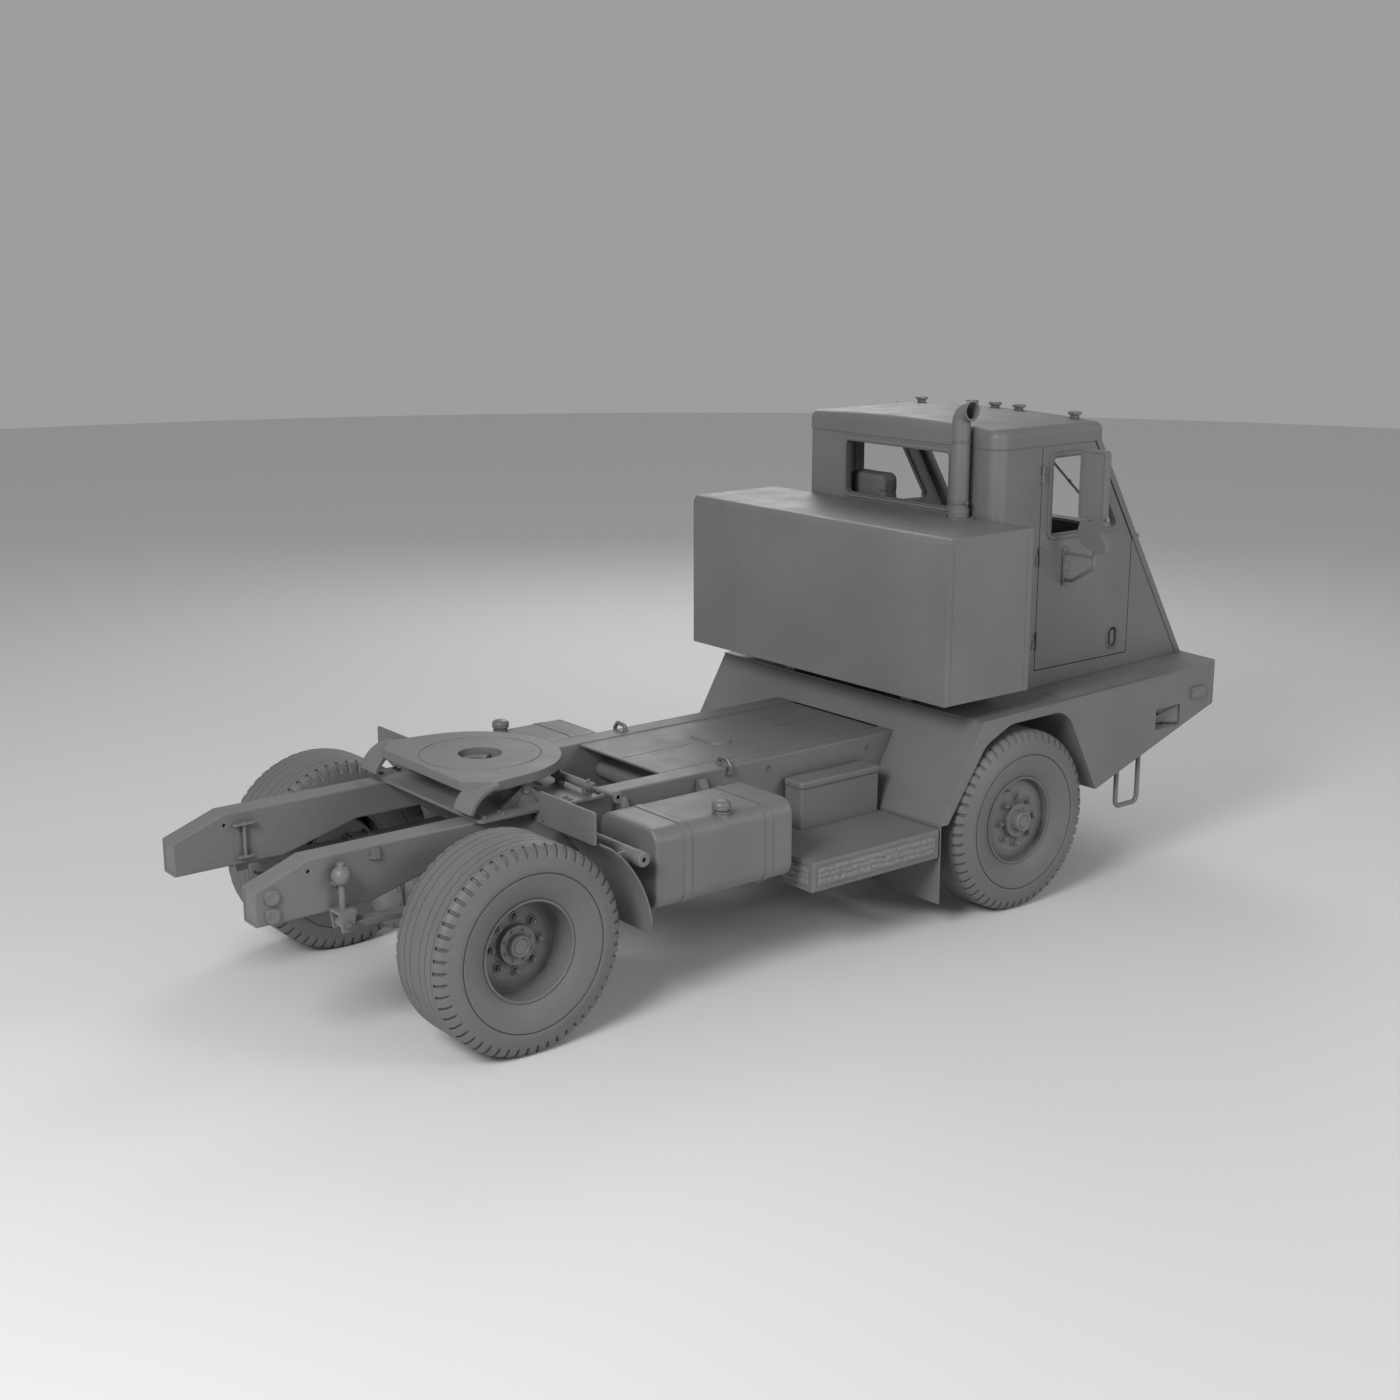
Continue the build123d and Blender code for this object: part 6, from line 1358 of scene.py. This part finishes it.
def walk_details():
    """Two long seams and the cover's screws on the deck plate."""
    shape = Build()
    section = [(-0.0030, -0.001), (0.0030, -0.001), (0.0022, 0.0012), (-0.0022, 0.0012)]
    for x in (-0.372, 0.372):
        shape.sweep(
            [(x, WALK_Y[0] + 0.01, WALK_Z), (x, WALK_Y[1] - 0.01, WALK_Z)],
            (0, 0, 1),
            section,
            closed=False,
        )
    for x in (-0.105, 0.105):
        shape.rivet(0.0055, 0.0025, (x, 0.055, WALK_Z + 0.0135), (0, 0, 1))
    shape.piece("walk_seams", "chassis", "plate_steel")


# Coupling.
def coupling_details():
    """Bolts, pin caps and ribs on the base; jaws, grease nipples and ramp rivets on the plate."""
    base = Build()
    for side in (1, -1):
        for x in (0.500, 0.540):
            for y in (1.24, 1.42, 1.83, 1.94):
                base.bolt(0.011, 0.008, (side * x, y, BASE_TOP - 0.0003), (0, 0, 1))
        cap = [
            (0.0, 0.0), (0.010, 0.0), (0.012, 0.002), (0.018, 0.002), (0.0205, -0.0005),
            (0.0205, -0.006),
        ]
        base.turn(cap, 28, (side * 0.476, TILT_Y, TILT_Z), (side, 0, 0))
        for dy in (-0.075, 0.075):
            rib = [(side * 0.466, TILT_Y + dy, BASE_TOP), (side * 0.466, TILT_Y + dy * 0.55, 1.095)]
            base.pipe(rib, 0.006, 8)
    base.piece("coupling_base_bolts", "chassis", "cast_parts")
    top = Build()
    jaw_z = PLATE_TOP - 0.052
    for side in (1, -1):
        arc = [
            (side * (BORE_R - 0.002) * cos(a), BORE_Y + (BORE_R - 0.002) * sin(a))
            for a in (radians(-62 + k * 15.5) for k in range(9))
        ]
        inner = [
            (side * 0.070 * cos(a), BORE_Y + 0.070 * sin(a))
            for a in (radians(62 - k * 15.5) for k in range(9))
        ]
        ring = arc + inner
        top.skin([[(x, y, jaw_z) for x, y in ring], [(x, y, jaw_z + 0.018) for x, y in ring]])
    for x, y in (
        (0.245, BORE_Y - 0.02), (-0.245, BORE_Y - 0.02), (0.0, BORE_Y + 0.245), (0.0, BORE_Y - 0.262),
    ):
        top.turn(
            [
                (0.012, -0.001), (0.012, 0.0008), (0.010, 0.0018), (0.004, 0.0018), (0.0035, 0.0035),
                (0, 0.0035),
            ],
            20,
            (x, y, PLATE_TOP - 0.0036),
            (0, 0, 1),
        )
    for side in (1, -1):
        for y in (1.90, 1.955):
            top.rivet(
                0.007,
                0.003,
                (side * 0.478, y - 0.02, PLATE_TOP - 0.004 - (y - 1.86) * 0.12),
                (0, 0.25, 1),
            )
    top.piece("coupling_jaws", "fifth_wheel", "plate_steel")


def release_details():
    """Gland, end cap, port fittings and the rod's clevis pin on the release cylinder."""
    shape = Build()
    y, z = 1.285, 1.086
    for x, w in ((-0.205, 0.018), (-0.552, 0.022)):
        shape.turn(
            [(0.0215, -w / 2), (0.0262, -w / 2 + 0.001), (0.0262, w / 2 - 0.001), (0.0215, w / 2)],
            32,
            (x, y, z),
            (1, 0, 0),
        )
    for x in (-0.245, -0.515):
        shape.bolt(0.009, 0.010, (x, y, z + 0.0215), (0, 0, 1))
    shape.turn(
        [(0.0, 0.0), (0.010, 0.0), (0.0115, 0.002), (0.016, 0.002), (0.018, -0.001)],
        24,
        (-0.777, y, z),
        (-1, 0, 0),
    )
    shape.piece("release_fittings", "chassis", "pipe_metal")


# Running gear.
def spring_details():
    """U-bolts over each axle pad, nuts on the spring pins and the axle's rear cover."""
    shape = Build()
    # Columns: axle y, spring x, low and high side of the clamp.
    for axle_y, x, low, high in ((FRONT_AXLE_Y, 0.456, 0.560, 0.676), (REAR_AXLE_Y, 0.575, 0.590, 0.704)):
        for side in (1, -1):
            for dy in (-0.048, 0.048):
                w = 0.0425
                cx = side * x
                path = bend(
                    [
                        (cx - w, axle_y + dy, low - 0.06),
                        (cx - w, axle_y + dy, high + 0.008),
                        (cx + w, axle_y + dy, high + 0.008),
                        (cx + w, axle_y + dy, low - 0.06),
                    ],
                    0.014,
                    5,
                )
                shape.pipe(path, 0.0075, 10)
                for dx in (-w, w):
                    shape.bolt(0.013, 0.012, (cx + dx, axle_y + dy, low - 0.045), (0, 0, -1))
            # Columns: axle y, half the span of the eyes, their height, reach of the nut.
            pins = ((FRONT_AXLE_Y, 0.620, 0.690, 0.0513), (REAR_AXLE_Y, 0.710, 0.692, 0.0510))
            for pin_y, half, pin_z, reach in pins:
                if pin_y != axle_y:
                    continue
                for dy in (-half, half):
                    shape.bolt(0.015, 0.010, (side * (x + reach), pin_y + dy, pin_z), (side, 0, 0))
    shape.piece("spring_bolts", "chassis", "spring_steel")
    cover = Build()
    z = 0.534
    for k in range(12):
        a = 2 * pi * k / 12
        spot = (0.150 * cos(a), REAR_AXLE_Y + 0.160, z + 0.150 * sin(a))
        cover.bolt(0.009, 0.007, spot, (0, 1, 0))
    cover.turn(
        [(0.168, -0.03), (0.168, 0.0), (0.162, 0.006), (0.120, 0.014), (0.060, 0.024), (0, 0.027)],
        48,
        (0, REAR_AXLE_Y + 0.155, z),
        (0, 1, 0),
    )
    cover.piece("axle_cover", "chassis", "cast_parts")


# Cab's inside.
def dashboard_details():
    """Hooded gauge panel, vents, switches, pedals and a gear lever."""
    shape = Build()
    z = 1.962
    y = nose_y(1.96, CAB_WALL) + 0.085
    hood = []
    for k in range(9):
        a = pi * k / 8
        hood.append((DRIVER_X + 0.21 * cos(a), z + 0.058 * sin(a)))
    rings = [[Vector((x, yy, zz)) for x, zz in hood] for yy in (y - 0.05, y + 0.095)]
    rings.insert(1, [Vector((x, y + 0.086, zz)) for x, zz in hood])
    shape.skin(rings)
    face_y = y + 0.0955
    for dx, r in ((-0.105, 0.034), (0.0, 0.040), (0.105, 0.034)):
        at = frame_at((DRIVER_X + dx, face_y, z + 0.020), (0, 1, 0))
        shape.add(
            lathe(
                [
                    (r * 0.55, 0), (r * 0.55, 0.003), (r * 0.62, 0.005), (r * 0.66, 0.003),
                    (r * 0.66, -0.001),
                ],
                32,
            ),
            at,
        )
    rear_y = nose_y(1.96, CAB_WALL) + 0.190
    for k in range(6):
        shape.box(0.030, 0.018, 0.008, 0.003, (-0.10 + k * 0.042, rear_y - 0.006, 1.890), (0, 1, 0.05))
    for x in (-0.62, -0.30, 0.72):
        for row in range(4):
            line = [
                (x - 0.055, rear_y + 0.001, 1.862 + row * 0.012),
                (x + 0.055, rear_y + 0.001, 1.862 + row * 0.012),
            ]
            shape.sweep(
                line,
                (0, 1, 0),
                [(-0.0028, -0.006), (0.0028, -0.006), (0.0018, 0.004), (-0.0018, 0.004)],
                closed=False,
            )
    shape.piece("dash_panel", "chassis", "trim_plastic")
    floor = Build()
    for dx, w in ((-0.13, 0.060), (0.10, 0.075)):
        pedal_y = rear_y - 0.205
        floor.box(w, 0.115, 0.014, 0.005, (DRIVER_X + dx, pedal_y, 1.400), (0, 0.80, 0.60))
        floor.pipe(
            [
                (DRIVER_X + dx, pedal_y - 0.002, 1.398),
                (DRIVER_X + dx, pedal_y - 0.10, 1.350),
                (DRIVER_X + dx, pedal_y - 0.12, 1.277),
            ],
            0.008,
            10,
        )
    lever = bend([(0.08, -1.98, 1.277), (0.08, -1.98, 1.60), (0.10, -1.94, 1.78)], 0.06, 6)
    floor.pipe(lever, 0.009, 12)
    knob = [(0.0, -0.030), (0.016, -0.026), (0.024, -0.010), (0.025, 0.006), (0.018, 0.022), (0.0, 0.028)]
    floor.turn(knob, 24, (0.102, -1.937, 1.790), (0.1, 0.2, 1))
    boot = [
        (0.075, 0.0), (0.070, 0.012), (0.050, 0.020), (0.052, 0.032), (0.034, 0.042), (0.036, 0.054),
        (0.020, 0.066), (0.010, 0.070),
    ]
    floor.turn(boot, 28, (0.08, -1.98, 1.275), (0, 0, 1))
    floor.piece("pedals_and_lever", "chassis", "trim_plastic")


def seat_details():
    """Bellows round the seat base, and the slide rails over it."""
    shape = Build()
    cy = CAB_REAR_Y - 0.330 - 0.240
    rings = []
    for k in range(15):
        z = 1.300 + k * 0.018
        grow = 0.010 if k % 2 else -0.002
        rings.append(
            [
                Vector((DRIVER_X + x, cy + y, z))
                for x, y in rect(0.302 + grow - k * 0.0026, 0.342 + grow - k * 0.0026, 0.03, 5)
            ]
        )
    shape.skin(rings, caps=False)
    for side in (1, -1):
        rail = [(DRIVER_X + side * 0.165, cy - 0.20, 1.596), (DRIVER_X + side * 0.165, cy + 0.20, 1.596)]
        shape.sweep(
            rail,
            (0, 0, -1),
            [
                (-0.014, -0.003), (0.014, -0.003), (0.014, 0.012), (0.009, 0.016), (-0.009, 0.016),
                (-0.014, 0.012),
            ],
            closed=False,
        )
    shape.piece("seat_bellows", "chassis", "trim_plastic")


PAD_CAP = 0.018


def stuffed(node, name, squeeze, flat_axis, flat_side, seams):
    """Padded cover of a CAD cushion: pressed outward as cloth, then sewn along channels."""
    source = frame["nodes"][node]
    low, high = (Vector(p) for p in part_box(node))
    mid = (low + high) / 2
    obj = bpy.data.objects.new(name, source.data.copy())
    bpy.context.scene.collection.objects.link(obj)
    obj.matrix_world = Matrix()
    mesh = obj.data
    mesh.transform(Matrix.Translation(mid) @ Matrix.Diagonal((*squeeze, 1)) @ Matrix.Translation(-mid))
    mesh.materials.clear()
    bpy.context.view_layer.objects.active = obj
    obj.select_set(True)
    remesh = obj.modifiers.new("remesh", "REMESH")
    remesh.mode = "VOXEL"
    remesh.voxel_size = 0.0085
    bpy.ops.object.modifier_apply(modifier="remesh")
    start = [v.co.copy() for v in obj.data.vertices]
    cloth = obj.modifiers.new("cloth", "CLOTH")
    cloth.settings.use_pressure = True
    cloth.settings.uniform_pressure_force = 4
    cloth.settings.effector_weights.gravity = 0
    cloth.settings.tension_stiffness = 18
    cloth.settings.compression_stiffness = 18
    cloth.settings.bending_stiffness = 0.6
    cloth.settings.quality = 5
    cloth.point_cache.frame_start = 1
    cloth.point_cache.frame_end = 20
    for step in range(1, 21):
        bpy.context.scene.frame_set(step)
    bpy.context.view_layer.update()
    bpy.ops.object.modifier_apply(modifier="cloth")
    bpy.context.scene.frame_set(1)
    for vert, was in zip(obj.data.vertices, start):
        move = vert.co - was
        if move.length > PAD_CAP:
            move *= PAD_CAP / move.length
        spot = was + move
        for axis in range(3):
            spot[axis] = min(max(spot[axis], low[axis] + 0.0003), high[axis] - 0.0003)
        vert.co = spot
    sub = obj.modifiers.new("sub", "SUBSURF")
    sub.levels = 1
    sub.render_levels = 1
    bpy.ops.object.modifier_apply(modifier="sub")
    for vert in obj.data.vertices:
        if (vert.co[flat_axis] - mid[flat_axis]) * flat_side > 0:
            continue
        dip = 0.0
        for axis, at in seams:
            gap = (vert.co[axis] - at) / 0.010
            if abs(gap) < 3:
                dip = max(dip, 0.0085 * 2.718 ** (-gap * gap))
        vert.co[flat_axis] += dip * flat_side
    obj.select_set(False)
    obj.data.shade_smooth()
    obj.data.materials.append(MATS["seat_fabric"])
    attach(obj, "chassis")
    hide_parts(node)
    return obj


def piping(name, pad, path, r=0.0045):
    """Piped seam laid on a pad along the path, each point moved to the pad's surface."""
    points = []
    for p in path:
        found, spot, normal = pad.closest_point_on_mesh(Vector(p))[:3]
        if found:
            points.append(spot + normal * r * 0.3)
    smooth = [
        (points[i - 1] + points[i] * 2 + points[(i + 1) % len(points)]) / 4
        for i in range(len(points))
    ]
    Build().pipe(smooth, r, 8, closed=True).piece(name, "chassis", "seat_fabric")


def seat():
    low, high = (Vector(p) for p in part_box("seat_cushion"))
    mid = (low + high) / 2
    cushion = stuffed("seat_cushion", "seat_cushion_soft", (0.955, 0.955, 0.86), 2, -1,
                      ((0, mid.x - 0.125), (0, mid.x + 0.125), (1, mid.y + 0.10)))
    for z, name in ((mid.z + 0.028, "upper"), (mid.z - 0.045, "lower")):
        ring = [
            (mid.x + x, mid.y + y, z)
            for x, y in rect(high.x - low.x - 0.012, high.y - low.y - 0.012, 0.065, 10)
        ]
        dense = []
        for i, p in enumerate(ring):
            q = ring[(i + 1) % len(ring)]
            n = max(1, int(hypot(q[0] - p[0], q[1] - p[1]) / 0.018))
            dense += [Vector(p).lerp(Vector(q), k / n) for k in range(n)]
        piping(f"cushion_piping_{name}", cushion, dense)
    low, high = (Vector(p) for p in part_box("seat_back"))
    mid = (low + high) / 2
    stuffed("seat_back", "seat_back_soft", (0.95, 0.95, 0.97), 1, 1,
            ((0, mid.x - 0.095), (0, mid.x + 0.095), (2, mid.z - 0.10), (2, mid.z + 0.17)))


# Run.
camera()
studio()
paint_frame()
for row in wheel_rows:
    tyre(*row)
    wheel_fittings(*row)
window_rubbers()
roof_seam()
mirrored(door_furniture)
mirrored(door_seal)
wipers()
roof_details()
cab_fasteners()
mirrored(mirror_details)
box_details()
exhaust_details()
front_fasteners()
step_pockets()
side_lamps()
nose_details()
step_grips()
mirrored(battery_seam)
mirrored(tank_details)
mudguards()
lamp_plate_bolts()
frame_fittings()
walk_details()
coupling_details()
release_details()
spring_details()
dashboard_details()
seat_details()
seat()
